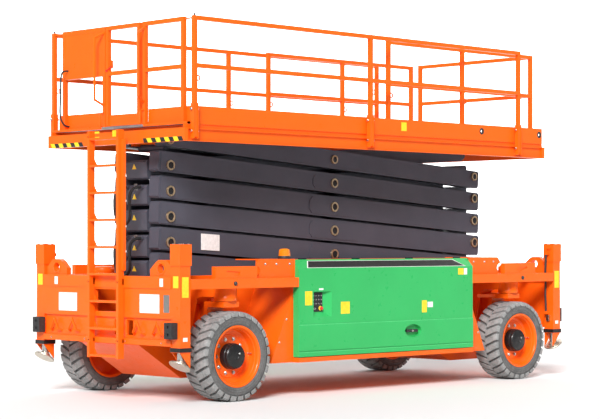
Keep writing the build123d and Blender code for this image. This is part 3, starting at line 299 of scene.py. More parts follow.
def add_box(bm, corner, far_corner):
    """Box between two opposite corners, given in either order."""
    xs, ys, zs = (sorted(pair) for pair in zip(corner, far_corner))
    corners = [bm.verts.new((x, y, z)) for x in xs for y in ys for z in zs]
    for face in BOX_FACES:
        bm.faces.new([corners[i] for i in face])


def join_loops(bm, loop, after):
    """Faces between two closed loops of as many points."""
    for i in range(len(loop)):
        j = (i + 1) % len(loop)
        bm.faces.new([loop[i], loop[j], after[j], after[i]])


def add_solid(bm, loop, after):
    """Solid between two closed loops of places."""
    loop, after = ([bm.verts.new(place) for place in places] for places in (loop, after))
    bm.faces.new(loop)
    bm.faces.new(list(reversed(after)))
    join_loops(bm, loop, after)


def add_prism(bm, outline, axis, low, high):
    """Outline along X (points y, z), Y (points z, x) or Z (points x, y)."""
    turn = AXES[axis]
    add_solid(bm, *([turn @ Vector((a, b, end)) for a, b in outline] for end in (low, high)))


def add_lathe(bm, profile, centre, direction, segments=48, closed=False):
    """Surface of revolution; profile points are (radius, distance along the direction)."""
    turn = Vector((0, 0, 1)).rotation_difference(Vector(direction)).to_matrix()
    centre = Vector(centre)
    steps = [2 * math.pi * i / segments for i in range(segments)]
    rings = []
    for radius, along in profile:
        if radius < 1e-6:
            places = [(0, 0, along)]
        else:
            places = [(radius * math.cos(a), radius * math.sin(a), along) for a in steps]
        rings.append([bm.verts.new(centre + turn @ Vector(place)) for place in places])
    pairs = list(zip(rings, rings[1:]))
    if closed:
        pairs.append((rings[-1], rings[0]))
    for ring, after in pairs:
        for i in range(segments):
            j = (i + 1) % segments
            corners = (ring[i % len(ring)], ring[j % len(ring)], after[j % len(after)], after[i % len(after)])
            unique = list(dict.fromkeys(corners))
            if len(unique) > 2:
                bm.faces.new(unique)


def add_disc(bm, centre, direction, radius, thickness, edge=0.002, segments=32):
    """Solid round plate with softened edges, from the centre along the direction."""
    flat = thickness - edge
    profile = [(0, 0), (radius, 0), (radius, flat), (radius - edge, thickness), (0, thickness)]
    add_lathe(bm, profile, centre, direction, segments)


def add_bolt(bm, centre, direction, size):
    """Hexagon head on a washer; size is the head's half width."""
    washer = [(0, 0), (1.35, 0), (1.35, 0.22), (0, 0.22)]
    head = [(0, 0.2), (1.1, 0.2), (1.1, 0.75), (0.95, 0.9), (0, 0.9)]
    for shares, segments in ((washer, 20), (head, 6)):
        profile = [(size * radius, size * along) for radius, along in shares]
        add_lathe(bm, profile, centre, direction, segments)


def add_rod(bm, start, end, radius, segments=24):
    start = Vector(start)
    along = Vector(end) - start
    profile = [(0, 0), (radius, 0), (radius, along.length), (0, along.length)]
    add_lathe(bm, profile, start, along.normalized(), segments)


def shape(add, *form):
    """New mesh that starts with one form."""
    bm = bmesh.new()
    add(bm, *form)
    return bm


def on_circle(count, radius, start=0.0):
    angles = [start + 2 * math.pi * i / count for i in range(count)]
    return [(radius * math.cos(a), radius * math.sin(a)) for a in angles]


# -------- wheels
LUGS = 28
LUG_SWEEP = 0.072
LUG_SHARE = 0.70
LUG_HEIGHT = 0.026
LUG_CROWN = 0.0006
TYRE_LOW, TYRE_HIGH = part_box("front_left_tyre")
TYRE_R = (TYRE_HIGH.x - TYRE_LOW.x) / 2
TYRE_HALF_W = (TYRE_HIGH.y - TYRE_LOW.y) / 2
RIM_LOW, RIM_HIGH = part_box("front_left_rim")
RIM_FLANGE_R = (RIM_HIGH.x - RIM_LOW.x) / 2
CARCASS_R = TYRE_R - LUG_HEIGHT
HUB_R = 0.140
DISC_DEPTH = 0.150
HUB_EDGE = 0.025
ORIGIN = (0, 0, 0)
LEFT = (0, 1, 0)


def add_lug(bm, row, angle):
    """Chevron lug that trails from the middle of the tread and wraps over the shoulder."""
    # Share of the half width; top below the tyre's radius; foot below the carcass.
    stations = [(0.015, 0, 0.004), (0.3, 0, 0.004), (0.6, 0, 0.004), (0.83, 0.001, 0.006),
                (0.95, 0.008, 0.018), (0.995, 0.022, 0.030)]
    pitch = 2 * math.pi / LUGS
    half_top = LUG_SHARE * pitch / 2
    half_foot = half_top + 0.004 / CARCASS_R
    rings = []
    for share, top_drop, foot_drop in stations:
        top = TYRE_R - top_drop
        foot = CARCASS_R - foot_drop
        middle_angle = angle + (0.5 - share) * LUG_SWEEP / CARCASS_R
        section = ((-half_foot, foot), (-half_top, top), (0, top + LUG_CROWN), (half_top, top),
                   (half_foot, foot))
        ring = []
        for half, radius in section:
            turned = middle_angle + half
            place = (radius * math.cos(turned), row * share * TYRE_HALF_W, radius * math.sin(turned))
            ring.append(bm.verts.new(place))
        rings.append(ring)
    for ring, after in zip(rings, rings[1:]):
        join_loops(bm, ring, after)
    bm.faces.new(rings[0])
    bm.faces.new(list(reversed(rings[-1])))


def tyre_meshes():
    """Carcass, and the lugs that stand on it."""
    # Radius; distance in from the sidewall's outermost plane.
    half = [(RIM_FLANGE_R - 0.014, 0.024), (RIM_FLANGE_R + 0.002, 0.014), (RIM_FLANGE_R + 0.012, 0.006),
            (0.352, 0.004), (0.3535, 0.001), (0.358, 0.001), (0.360, 0.004), (0.376, 0.003), (0.3775, 0.0),
            (0.383, 0.0), (0.385, 0.003), (0.404, 0.005), (0.4055, 0.002), (0.409, 0.003), (0.411, 0.007),
            (0.430, 0.012), (0.446, 0.022), (CARCASS_R, 0.045)]
    profile = [(r, a - TYRE_HALF_W) for r, a in half] + [(r, TYRE_HALF_W - a) for r, a in reversed(half)]
    carcass = bmesh.new()
    add_lathe(carcass, profile, ORIGIN, LEFT, 112, closed=True)
    lugs = bmesh.new()
    for row in (-1, 1):
        for i in range(LUGS):
            add_lug(lugs, row, 2 * math.pi * (i + row / 4) / LUGS)
    return plain_mesh("carcass", carcass), plain_mesh("lugs", lugs)


def rim_mesh():
    """Rim with its dish towards +Y."""
    w = TYRE_HALF_W
    flange = RIM_FLANGE_R
    # Step down from the flange's edge; depth.
    steps = [(0.014, 0.024), (0.003, 0.015), (0, 0.011), (0.001, 0.008), (0.010, 0.007), (0.022, 0.012),
             (0.030, 0.022), (0.034, 0.055), (0.040, 0.060), (0.042, 0.100), (0.048, 0.140), (0.060, 0.149)]
    outer = [(flange - down, depth) for down, depth in steps]
    outer += [(0.235, DISC_DEPTH), (0.228, DISC_DEPTH - 0.006), (0.150, DISC_DEPTH - 0.006),
              (0.0, DISC_DEPTH - 0.006)]
    inner = [(0.0, DISC_DEPTH + 0.02), (0.288, DISC_DEPTH + 0.02), (flange - 0.030, 2 * w - 0.020),
             (flange - 0.012, 2 * w - 0.008), (flange, 2 * w - 0.010), (flange - 0.014, 2 * w - 0.024)]
    bm = bmesh.new()
    add_lathe(bm, [(r, w - a) for r, a in outer + inner], ORIGIN, LEFT, 96, closed=True)
    return plain_mesh("rim", bm)


def hub_meshes():
    """Black hub cap with its bolts, and the rim's bolts and valve."""
    w = TYRE_HALF_W
    hub = bmesh.new()
    add_lathe(hub, [(0, w - DISC_DEPTH), (HUB_R - 0.001, w - DISC_DEPTH), (HUB_R - 0.001, w - 0.075),
                    (HUB_R - 0.006, w - 0.070), (HUB_R - 0.008, w - 0.040), (HUB_R - 0.016, w - 0.030),
                    (0.085, w - HUB_EDGE - 0.002), (0.080, w - HUB_EDGE), (0.035, w - HUB_EDGE),
                    (0.030, w - HUB_EDGE - 0.006), (0, w - HUB_EDGE - 0.006)], ORIGIN, LEFT, 64)
    for x, z in on_circle(12, 0.112):
        add_bolt(hub, (x, w - 0.0285, z), LEFT, 0.0055)
    bolts = bmesh.new()
    for x, z in on_circle(10, 0.188):
        add_bolt(bolts, (x, w - DISC_DEPTH + 0.006, z), LEFT, 0.015)
    add_disc(bolts, (0.045, w - HUB_EDGE - 0.001, 0.03), LEFT, 0.012, 0.004)
    add_rod(bolts, (0.262, w - 0.145, 0.02), (0.270, w - 0.085, 0.02), 0.006, 12)
    return plain_mesh("hub", hub), plain_mesh("wheel_bolts", bolts)


def move_mesh(mesh, centre, mirrored):
    """Copy of a mesh made about the origin, moved to its wheel."""
    copy = mesh.copy()
    if mirrored:
        copy.transform(Matrix.Scale(-1, 4, (0, 1, 0)))
        copy.flip_normals()
    copy.transform(Matrix.Translation(centre))
    return copy


def wheels():
    carcass, lugs = tyre_meshes()
    rim = rim_mesh()
    hub, bolts = hub_meshes()
    # Mesh; whether it is mirrored on the right; material; smooth angle; bevel; slot; part it replaces.
    pieces = {
        "tyre_skin": (carcass, False, MATERIALS["tyre_rubber"], 40, 0.0025, "tyre_rubber", "tyre"),
        "tyre_lugs": (lugs, False, WORN_RUBBER, 40, 0.0025, "tyre_rubber", "tyre"),
        "rim_skin": (rim, True, MATERIALS["orange_paint"], 40, 0, "orange_paint", "rim"),
        "hub_cap": (hub, True, MATERIALS["black_paint"], 30, 0, "black_paint", None),
        "wheel_bolts": (bolts, True, MATERIALS["bright_steel"], 30, 0, "bright_steel", None),
    }
    for name, (_, side) in CORNERS.items():
        centre = middle(f"{name}_tyre")
        centre.z = TYRE_R
        for label, (mesh, handed, material, smooth, bevel, slot, part) in pieces.items():
            moved = move_mesh(mesh, centre, handed and side < 0)
            piece = place_mesh(f"{name}_{label}", moved, material, f"{name}_wheel", smooth, bevel)
            if part:
                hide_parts(f"{name}_{part}")


# -------- scissor stack
PIN_RADIUS = {1: 0.050, 2: 0.050, 3: 0.050, 4: 0.048, 5: 0.046, 6: 0.042}
OUTER_FACE = 0.375
ROLLER_END = 0.410
BOSS = 0.020
LEVEL_PITCH = joint_place("inner_arm_2_turn").z - joint_place("lift").z
BASE_Z = joint_place("lift").z
REAR_X = joint_place("lift").x
STACK_X = joint_place("outer_arm_1_turn").x
FRONT_X = 2 * STACK_X - REAR_X
TILT = math.atan2(LEVEL_PITCH, FRONT_X - REAR_X)
ARM_HALF = math.hypot(FRONT_X - REAR_X, LEVEL_PITCH) / 2
COVER_REACH = 0.165
COVER_BACK = -ARM_HALF - COVER_REACH    # closed rear end of an inner arm, along the arm
FITTING_L = 0.025
FITTING_Y = (-0.110, 0.140)
FITTING_Z = 0.055
HOSE_REACH = 0.163
HOSE_CORNER = 0.073
HOSE_LEVELS = {"lower_arm_hoses": 3, "upper_arm_hoses": 5}


def add_pin_end(cores, x, y, z, radius, side):
    """Dark recessed end plate with three bolts."""
    out = (0, side, 0)
    profile = [(0, 0), (radius, 0), (radius, 0.001), (radius * 0.9, 0.0018), (0, 0.0018)]
    add_lathe(cores, profile, (x, y, z), out, 32)
    for a, b in on_circle(3, radius * 0.5, 0.5):
        add_bolt(cores, (x + a, y + side * 0.0018, z + b), out, radius * 0.13)


def add_pin_face(rings, cores, x, z, radius, side):
    """Bronze bush around a pin's end, over one boss."""
    shares = ((1.02, 0), (1.24, 0), (1.24, BOSS - 0.003), (1.18, BOSS + 0.004), (0.84, BOSS + 0.004),
              (0.80, BOSS), (1.02, BOSS))
    profile = [(radius * share, along) for share, along in shares]
    add_lathe(rings, profile, (x, side * (OUTER_FACE + 0.0005), z), (0, side, 0), 40, closed=True)
    add_pin_end(cores, x, side * (OUTER_FACE + BOSS), z, radius * 0.79, side)


def add_roller_face(rings, cores, side):
    """Retaining ring on an end of the rollers' axle."""
    profile = [(0.034, 0), (0.049, 0), (0.049, 0.004), (0.046, 0.006), (0.034, 0.006)]
    add_lathe(rings, profile, (FRONT_X, side * ROLLER_END, BASE_Z), (0, side, 0), 40, closed=True)
    add_pin_end(cores, FRONT_X, side * ROLLER_END, BASE_Z, 0.033, side)


def finish_pins(rings, cores, body, label="bushes"):
    finish_piece(f"{body}_{label}", rings, BRONZE, body, 40)
    finish_piece(f"{body}_pin_ends", cores, MATERIALS["black_paint"], body, 30)


def arm_pins():
    for level in range(1, ARM_LEVELS + 1):
        rings, cores = bmesh.new(), bmesh.new()
        places = [(STACK_X, BASE_Z + (level - 0.5) * LEVEL_PITCH)]
        if level > 1:
            places.append((FRONT_X, BASE_Z + (level - 1) * LEVEL_PITCH))
        else:
            for side in (-1, 1):
                add_roller_face(rings, cores, side)
        if level < ARM_LEVELS:
            places.append((REAR_X, BASE_Z + level * LEVEL_PITCH))
        for x, z in places:
            for side in (-1, 1):
                add_pin_face(rings, cores, x, z, PIN_RADIUS[level], side)
        finish_pins(rings, cores, f"outer_arm_{level}")
    rings, cores = bmesh.new(), bmesh.new()
    for side in (-1, 1):
        add_pin_face(rings, cores, REAR_X, BASE_Z + ARM_LEVELS * LEVEL_PITCH, PIN_RADIUS[ARM_LEVELS], side)
    finish_pins(rings, cores, "platform", "pin_bushes")


def on_arm(level, x, y, z):
    """Place given in a rising arm's own frame: along it, across and square to it."""
    cos, sin = math.cos(TILT), math.sin(TILT)
    return STACK_X + x * cos - z * sin, y, BASE_Z + (level - 0.5) * LEVEL_PITCH + x * sin + z * cos


def nurbs_cord(name, points, radius, body, node):
    """Smooth rubber cord along the points, over one of the plain ones."""
    curve = bpy.data.curves.new(name, "CURVE")
    curve.dimensions = "3D"
    spline = curve.splines.new("NURBS")
    spline.points.add(len(points) - 1)
    for point, place in zip(spline.points, points):
        point.co = (*place, 1)
    spline.order_u = 3
    spline.use_endpoint_u = True
    spline.resolution_u = 10
    curve.bevel_depth = radius
    curve.bevel_resolution = 6
    curve.use_fill_caps = True
    curve.materials.append(MATERIALS["black_rubber"])
    cord = new_object(name, curve)
    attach(cord, body)
    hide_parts(node)
    return cord


def arm_hoses():
    """Conduits that leave the closed rear ends of two inner arms, hang in a loop and return."""
    x = COVER_BACK - FITTING_L
    y0, y1 = FITTING_Y
    z = FITTING_Z
    plane = x - HOSE_REACH
    half = [(x, z), (x - 0.095, z), (plane, z - 0.068), (plane - 0.008, z - 0.215), (plane, z - 0.330)]
    down = [(px, y0 - 0.006 if px < plane else y0, pz) for px, pz in half]
    up = [(px, y1 + 0.006 if px < plane else y1, pz) for px, pz in reversed(half)]
    route = down + [(plane, y0 + HOSE_CORNER, z - 0.403), (plane, y1 - HOSE_CORNER, z - 0.403)] + up
    for node, level in HOSE_LEVELS.items():
        points = [on_arm(level, *place) for place in route]
        hose = nurbs_cord(f"{node}_conduit", points, 0.017, f"inner_arm_{level}", node)


def cover_fittings():
    """Grease fittings and bare triangles on the arms' closed rear ends."""
    out = Vector((-math.cos(TILT), 0, -math.sin(TILT)))
    profile = [(0, 0), (0.010, 0), (0.010, 0.006), (0.005, 0.008), (0.004, 0.018), (0, 0.019)]
    for level in HOSE_LEVELS.values():
        fittings = bmesh.new()
        for y in (-0.020, 0.010):
            for z in (0.085, 0.058, 0.031):
                add_lathe(fittings, profile, on_arm(level, COVER_BACK, y, z), out, 16)
        arm = f"inner_arm_{level}"
        finish_piece(f"{arm}_fittings", fittings, MATERIALS["bright_steel"], arm)
    for level in range(2, ARM_LEVELS + 1):
        low = -0.078 if level in HOSE_LEVELS.values() else -0.028
        corners = ((0.0, low), (0.070, low), (0.035, low + 0.060))
        triangle = bmesh.new()
        add_solid(triangle, *([on_arm(level, back, y, z) for y, z in corners]
                              for back in (COVER_BACK + 0.0005, COVER_BACK - FILM_LIFT)))
        arm = f"inner_arm_{level}"
        finish_piece(f"{arm}_triangle", triangle, YELLOW, arm, 0)


def arm_extras():
    """Tie tube between the top outer arms, and a bare plate on an outer arm's side."""
    tie = shape(add_rod, (-2.500, -0.219, 2.742), (-2.500, 0.219, 2.742), 0.042, 32)
    finish_piece("top_arm_tie", tie, MATERIALS["arm_paint"], "outer_arm_6", 40)
    bm = bmesh.new()
    outline = [(1.612, -2.129), (1.598, -1.862), (1.778, -1.862), (1.792, -2.129)]
    add_prism(bm, outline, "Y", -OUTER_FACE - 0.0105, -OUTER_FACE - 0.0005)
    finish_piece("arm_side_plate", bm, WHITE, "outer_arm_2", 0, 0.001)


# -------- posts, hoses and jacks
UP = (0, 0, 1)
POST_X = 3.105
POST_Y = 1.170
POST_HALF = 0.070
POST_TOP_Z = 1.675
BAND_HALF = 0.0815
END_FACE = 3.175        # outer faces of the posts and of the end frames' raised panels
FOOT_TILT = math.radians(30)
BUFFER_Y = (1.080, 1.200)
COUNTERBORE = 0.022
HOLE_R = 0.017
HOLE_INSET = 0.045      # from the buffer's top and bottom to its holes


def post_hoses():
    route = [(2.993, 1.155, 1.537), (2.993, 1.155, 1.462), (2.986, 1.150, 1.330), (2.999, 1.148, 1.180),
             (2.987, 1.149, 1.030), (2.993, 1.155, 0.920), (2.993, 1.155, 0.823)]
    for name, (end, side) in CORNERS.items():
        points = [(end * px, side * py, pz) for px, py, pz in route]
        hose = nurbs_cord(f"{name}_post_hose", points, 0.013, "chassis", "post_hoses")


def control_cable():
    # Behind the rear rail; towards the left; height.
    places = [(0.020, 0, 3.620), (0.076, 0, 3.620), (0.116, 0, 3.580), (0.118, 0.006, 3.480),
              (0.110, 0.016, 3.330), (0.114, 0.026, 3.180), (0.100, 0.032, 3.085), (0.070, 0.035, 3.035),
              (0.028, 0.035, 3.000), (-0.024, 0.035, 3.000)]
    route = [(-2.950 - back, 0.930 + left, z) for back, left, z in places]
    cable = nurbs_cord("control_lead", route, 0.010, "platform", "control_cable")


def jack_legs():
    """Round leg with a tilted foot, over each of the plain ones."""
    profile = [(0, -0.011), (0.113, -0.011), (0.1195, -0.005), (0.1195, 0.006), (0.114, 0.011),
               (0.084, 0.012), (0.082, 0.021), (0.062, 0.023), (0.060, 0.037), (0.048, 0.040),
               (0.046, 0.050), (0, 0.050)]
    for name, (end, side) in CORNERS.items():
        node = f"{name}_jack_leg"
        x = end * POST_X
        y = side * POST_Y
        upright = Vector((-end * math.sin(FOOT_TILT), 0, math.cos(FOOT_TILT)))
        foot_at = Vector((x + end * 0.015, y, 0.405))
        leg = shape(add_rod, (x, y, foot_at.z + 0.015), (x, y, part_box(node)[1].z), 0.040, 48)
        finish_slot(f"{name}_jack_rod", leg, "bright_steel", f"{name}_jack", 40, 0.001, node)
        foot = shape(add_lathe, profile, foot_at, upright, 64)
        piece = finish_piece(f"{name}_jack_foot", foot, FOOT_METAL, f"{name}_jack")
        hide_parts(node)


def buffers():
    """Rubber block on each post, with two counterbored holes."""
    low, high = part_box("buffers")
    floor_x = high.x - COUNTERBORE
    holes = (high.z - HOLE_INSET, low.z + HOLE_INSET)
    for name, (end, side) in CORNERS.items():
        near, far = sorted(side * y for y in BUFFER_Y)
        mid_y = (near + far) / 2
        block = shape(add_box, (end * END_FACE, near, low.z), (end * floor_x, far, high.z))
        for edge_y, turn in ((near, -1), (far, 1)):
            outline = [(mid_y, low.z), (edge_y, low.z), (edge_y, high.z), (mid_y, high.z)]
            for hole_z in holes:
                for i in range(13):
                    a = math.pi * i / 12
                    outline.append((mid_y + turn * HOLE_R * math.sin(a), hole_z + HOLE_R * math.cos(a)))
            add_prism(block, outline, "X", *sorted((end * floor_x, end * high.x)))
        for hole_z in holes:
            add_bolt(block, (end * floor_x, mid_y, hole_z), (end, 0, 0), 0.009)
        finish_slot(f"{name}_buffer_block", block, "black_rubber", "chassis", 30, 0.002, "buffers")


def post_details():
    """Black bands, blank stickers, plates, valves and cap bolts on the posts."""
    for name, (end, side) in CORNERS.items():
        x = end * POST_X
        y = side * POST_Y
        outer_x = x + end * POST_HALF
        outer_y = y + side * POST_HALF
        inner_x = x - end * POST_HALF
        band = shape(add_box, (x - BAND_HALF, y - BAND_HALF, 0.552), (x + BAND_HALF, y + BAND_HALF, 0.598))
        finish_slot(f"{name}_post_band", band, "black_paint", "chassis", 0, 0.003)
        films = shape(add_box, (outer_x, y - 0.041, 1.220), (outer_x + end * FILM_LIFT, y + 0.041, 1.342))
        add_box(films, (x - 0.045, outer_y, 1.120), (x + 0.045, outer_y + side * FILM_LIFT, 1.333))
        finish_piece(f"{name}_post_films", films, YELLOW, "chassis", 0, 0.0004)
        plate = shape(add_box, (x - 0.030, outer_y, 0.664), (x + 0.030, outer_y + side * PLATE_T, 0.704))
        finish_piece(f"{name}_post_plate", plate, WHITE, "chassis", 0, 0.0006)
        valve = shape(add_box, (inner_x, y - 0.022, 0.70), (inner_x - end * 0.03, y + 0.022, 0.775))
        finish_slot(f"{name}_post_valve", valve, "bright_steel", "chassis", 30, 0.003)
        cap = shape(add_disc, (x, y, POST_TOP_Z), UP, 0.03, 0.008)
        for dx in (-0.055, 0.055):
            for dy in (-0.055, 0.055):
                add_bolt(cap, (x + dx, y + dy, POST_TOP_Z), UP, 0.010)
        finish_slot(f"{name}_post_cap_bolts", cap, "bright_steel", "chassis", 30)


# -------- end frames
TUBE_FACE = 3.185       # outer faces of the end frames' tubes


def end_plates():
    """Bare plates with small corner screws on the rear frame, and bolts along both low tubes."""
    white, grey, screws = bmesh.new(), bmesh.new(), bmesh.new()
    plates = ((white, (0.498, 0.826), (0.940, 1.142)), (white, (-0.907, -0.583), (0.949, 1.148)),
              (grey, (-1.068, -0.975), (0.960, 1.145)))
    for bm, (y0, y1), (z0, z1) in plates:
        add_box(bm, (-END_FACE - PLATE_T, y0, z0), (-END_FACE, y1, z1))
        for y in (y0 + 0.010, y1 - 0.010):
            for z in (z0 + 0.010, z1 - 0.010):
                add_disc(screws, (-END_FACE - PLATE_T, y, z), (-1, 0, 0), 0.004, 0.0015, 0.0005, 12)
    for y0, y1 in ((0.833, 0.892), (-0.978, -0.922)):
        add_box(white, (-TUBE_FACE - PLATE_T, y0, 1.231), (-TUBE_FACE, y1, 1.316))
    finish_piece("rear_plates", white, WHITE, "chassis", 0, 0.0008)
    finish_piece("rear_narrow_plate", grey, GREY_PLATE, "chassis", 0, 0.0008)
    for end in (-1, 1):
        for y in (-0.95, -0.35, 0.35, 0.95):
            add_bolt(screws, (end * TUBE_FACE, y, 0.64), (end, 0, 0), 0.007)
    finish_slot("end_frame_screws", screws, "bright_steel", "chassis", 30)


def eye_rings():
    """Welded reinforcing rings around the lifting eyes."""
    profile = [(0.0505, 0), (0.068, 0), (0.068, 0.004), (0.065, 0.006), (0.0505, 0.006)]
    rings = bmesh.new()
    for end, side in CORNERS.values():
        for face, out in ((3.085, -1), (3.145, 1)):
            add_lathe(rings, profile, (end * face, side * 0.900, 1.420), (end * out, 0, 0), 48, closed=True)
    finish_slot("lifting_eye_rings", rings, "orange_paint", "chassis", 40)


# -------- ladder
TREADS = 9
TREAD_PITCH = 0.2925
TREAD_Z = 0.473         # middle of the lowest tread
TREAD_HALF_T = 0.012
GRIPS = 14
GRIP_PITCH = 0.0332


def ladder_details():
    low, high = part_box("ladder")
    bolts = bmesh.new()
    for y in (low.y + 0.055, high.y - 0.055):
        for z in (0.64, 1.27, 2.84):
            add_disc(bolts, (low.x + 0.0015, y, z), (-1, 0, 0), 0.010, 0.0015, 0.0005, 16)
    finish_slot("ladder_bolts", bolts, "bright_steel", "chassis", 30)
    grips = bmesh.new()
    for i in range(TREADS):
        z = TREAD_Z + TREAD_PITCH * i + TREAD_HALF_T
        for j in range(GRIPS):
            for x in (low.x + 0.020, low.x + 0.052):
                add_disc(grips, (x, -0.275 + j * GRIP_PITCH, z), UP, 0.007, 0.003, 0.001, 12)
    finish_slot("ladder_tread_grips", grips, "orange_paint", "chassis", 35)
    brackets = bmesh.new()
    for y0, y1 in ((low.y + 0.035, low.y + 0.075), (high.y - 0.075, high.y - 0.035)):
        for z0, z1 in ((1.235, 1.31), (0.615, 0.665)):
            add_box(brackets, (-3.21, y0, z0), (-3.184, y1, z1))
    finish_slot("ladder_brackets", brackets, "orange_paint", "chassis", 0, 0.003)


# -------- covers
COVER_LOW, COVER_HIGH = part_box("left_cover")
COVER_FACE = 1.242      # above the step along the cover
LOWER_FACE = 1.250      # below it
POCKET_DEPTH = 0.0448
PANEL_DEPTH = 0.038     # the control plate's front, in from the cover's face
STOP_AT = (-1.092, 0.962)
SHOULDER_TOP = (1.150, 1.505)
SHOULDER_LOW = (1.242, 1.407)
PAINTED_LINE_X = (COVER_LOW.x + 0.004, COVER_HIGH.x - 0.004)

# Blank films: along the cover; height; material.
COVER_FILMS = (
    ((-1.366, -1.256), (1.0, 1.155), YELLOW), ((-0.803, -0.661), (0.893, 1.028), YELLOW),
    ((0.554, 0.640), (0.873, 1.015), YELLOW), ((0.652, 0.746), (0.932, 0.996), WHITE),
    ((1.20, 1.30), (1.309, 1.386), YELLOW), ((1.307, 1.365), (1.309, 1.386), WHITE),
    ((-1.15, -1.08), (1.165, 1.185), WHITE))
# Painted shadow and highlight lines along the step and the bottom bead: label; face; height; material.
COVER_LINES = (
    ("step_shadow", COVER_FACE, (0.790, 0.796), PAINTED_SHADE_GREEN),
    ("step_painted_highlight", LOWER_FACE, (0.782, 0.7855), PAINTED_HIGHLIGHT_GREEN),
    ("bead_shadow", LOWER_FACE, (0.494, 0.499), PAINTED_SHADE_GREEN),
    ("bead_painted_highlight", LOWER_FACE, (0.480, 0.4835), PAINTED_HIGHLIGHT_GREEN))


def cover_films(side, body):
    rows = [(f"film_{i}", COVER_FACE, 0.001, *film) for i, film in enumerate(COVER_FILMS, 1)]
    # These lines paint the shadow and the highlight along the step and the bottom bead.
    rows += [(label, face, 0.0006, PAINTED_LINE_X, zs, material) for label, face, zs, material in COVER_LINES]
    for label, face, thick, xs, zs, material in rows:
        film = shape(add_box, (xs[0], side * face, zs[0]), (xs[1], side * (face + thick), zs[1]))
        finish_piece(f"{SIDES[side]}_{label}", film, material, body, 0, 0.0004)


def ground_controls(side, body):
    """Plate, stop button and switches in the cover's rear pocket."""
    name = SIDES[side]
    out = (0, side, 0)
    front = side * (COVER_FACE - PANEL_DEPTH)
    stop = (STOP_AT[0], front, STOP_AT[1])
    plate = shape(add_box, (-1.226, side * (COVER_FACE - POCKET_DEPTH), 0.924), (-1.058, front, 1.139))
    finish_piece(f"{name}_control_plate", plate, BLACK_FILM, body, 0, 0.002)
    ring = shape(add_disc, stop, out, 0.026, 0.004)
    finish_piece(f"{name}_stop_ring", ring, YELLOW, body)
    knob = bmesh.new()
    add_lathe(knob, [(0, 0.004), (0.011, 0.004), (0.011, 0.012), (0.019, 0.016), (0.020, 0.024),
                     (0.016, 0.029), (0, 0.031)], stop, out, 32)
    finish_piece(f"{name}_stop_knob", knob, RED, body)
    switches = bmesh.new()
    toggle = [(0, 0), (0.009, 0), (0.009, 0.004), (0.006, 0.005), (0.005, 0.010), (0, 0.011)]
    for x in (-1.200, -1.160, -1.120, -1.080):
        for z in (1.105, 1.060, 1.015):
            add_lathe(switches, toggle, (x, front, z), out, 20)
    add_lathe(switches, [(0, 0), (0.014, 0), (0.014, 0.004), (0.009, 0.006), (0.008, 0.018), (0, 0.019)],
              (-1.185, front, 0.960), out, 24)
    finish_piece(f"{name}_switches", switches, MATERIALS["bright_steel"], body)


def cover_hardware(side, body):
    """Handle and lock in the latch pocket, and knuckles along the hinge line."""
    name = SIDES[side]
    floor_y = side * (LOWER_FACE - POCKET_DEPTH)
    latch_z = 0.665
    latch_face = floor_y + side * 0.036
    latch = bmesh.new()
    add_box(latch, (0.300, floor_y + side * 0.010, latch_z - 0.017), (0.488, latch_face, latch_z + 0.017))
    for x in (0.312, 0.476):
        add_rod(latch, (x, floor_y, latch_z), (x, floor_y + side * 0.012, latch_z), 0.010, 16)
    lock = shape(add_disc, (0.394, latch_face, latch_z), (0, side, 0), 0.014, 0.006)
    finish_piece(f"{name}_latch_lock", lock, MATERIALS["bright_steel"], body)
    finish_piece(f"{name}_latch", latch, MATERIALS["black_rubber"], body, 30, 0.004)
    hinges = bmesh.new()
    for x in (-1.30, -0.45, 0.45, 1.30):
        add_rod(hinges, (x - 0.06, side * 1.130, 1.511), (x + 0.06, side * 1.130, 1.511), 0.008, 16)
    finish_piece(f"{name}_hinge_knuckles", hinges, MATERIALS["black_paint"], body, 40)


def shoulder_films(side, body):
    """Black band with a white edge along the sloped shoulder, its ends slanted; left bare."""
    top, low = (Vector((0, side * y, z)) for y, z in (SHOULDER_TOP, SHOULDER_LOW))
    length = (low - top).length
    down = (low - top).normalized()
    out = Vector((0, side * -down.z, abs(down.y))).normalized()
    # Label; material; lift; upper and lower edge, as share of the slope, rear end and front end.
    films = (("shoulder_edge", WHITE, 0.0006, (0.16, -1.262, 1.19), (0.95, -1.330, 1.345)),
             ("shoulder_band", BLACK_FILM, FILM_LIFT, (0.20, -1.250, 1.178), (0.91, -1.312, 1.328)))
    for label, material, lift, upper, lower in films:
        corners = []
        for share, *ends in (upper, lower):
            place = top + down * (share * length) + out * lift
            corners.append([Vector((x, place.y, place.z)) for x in ends])
        quad = corners[0] + corners[1][::-1]
        film = bmesh.new()
        foot = [film.verts.new(corner - out * (lift + 0.0005)) for corner in quad]
        face = [film.verts.new(corner) for corner in quad]
        film.faces.new(face)
        film.faces.new(foot[::-1])
        join_loops(film, foot, face)
        finish_piece(f"{SIDES[side]}_{label}", film, material, body, 0)


def cover_details():
    for side, name in SIDES.items():
        for dress in (cover_films, ground_controls, cover_hardware, shoulder_films):
            dress(side, f"{name}_cover")


# -------- side beams, arches and beacon
KINGPIN_X = 2.370
KINGPIN_Y = 1.050
CAP_PROFILE = [(0, 0), (0.100, 0), (0.100, 0.012), (0.086, 0.020), (0, 0.024)]
HOUSING_PROFILE = [(0.0705, 0), (0.1215, 0), (0.1245, 0.006), (0.1245, 0.040), (0.1215, 0.046),
                   (0.1215, 0.29), (0.1245, 0.296), (0.1245, 0.328), (0.1215, 0.334), (0.0705, 0.334)]


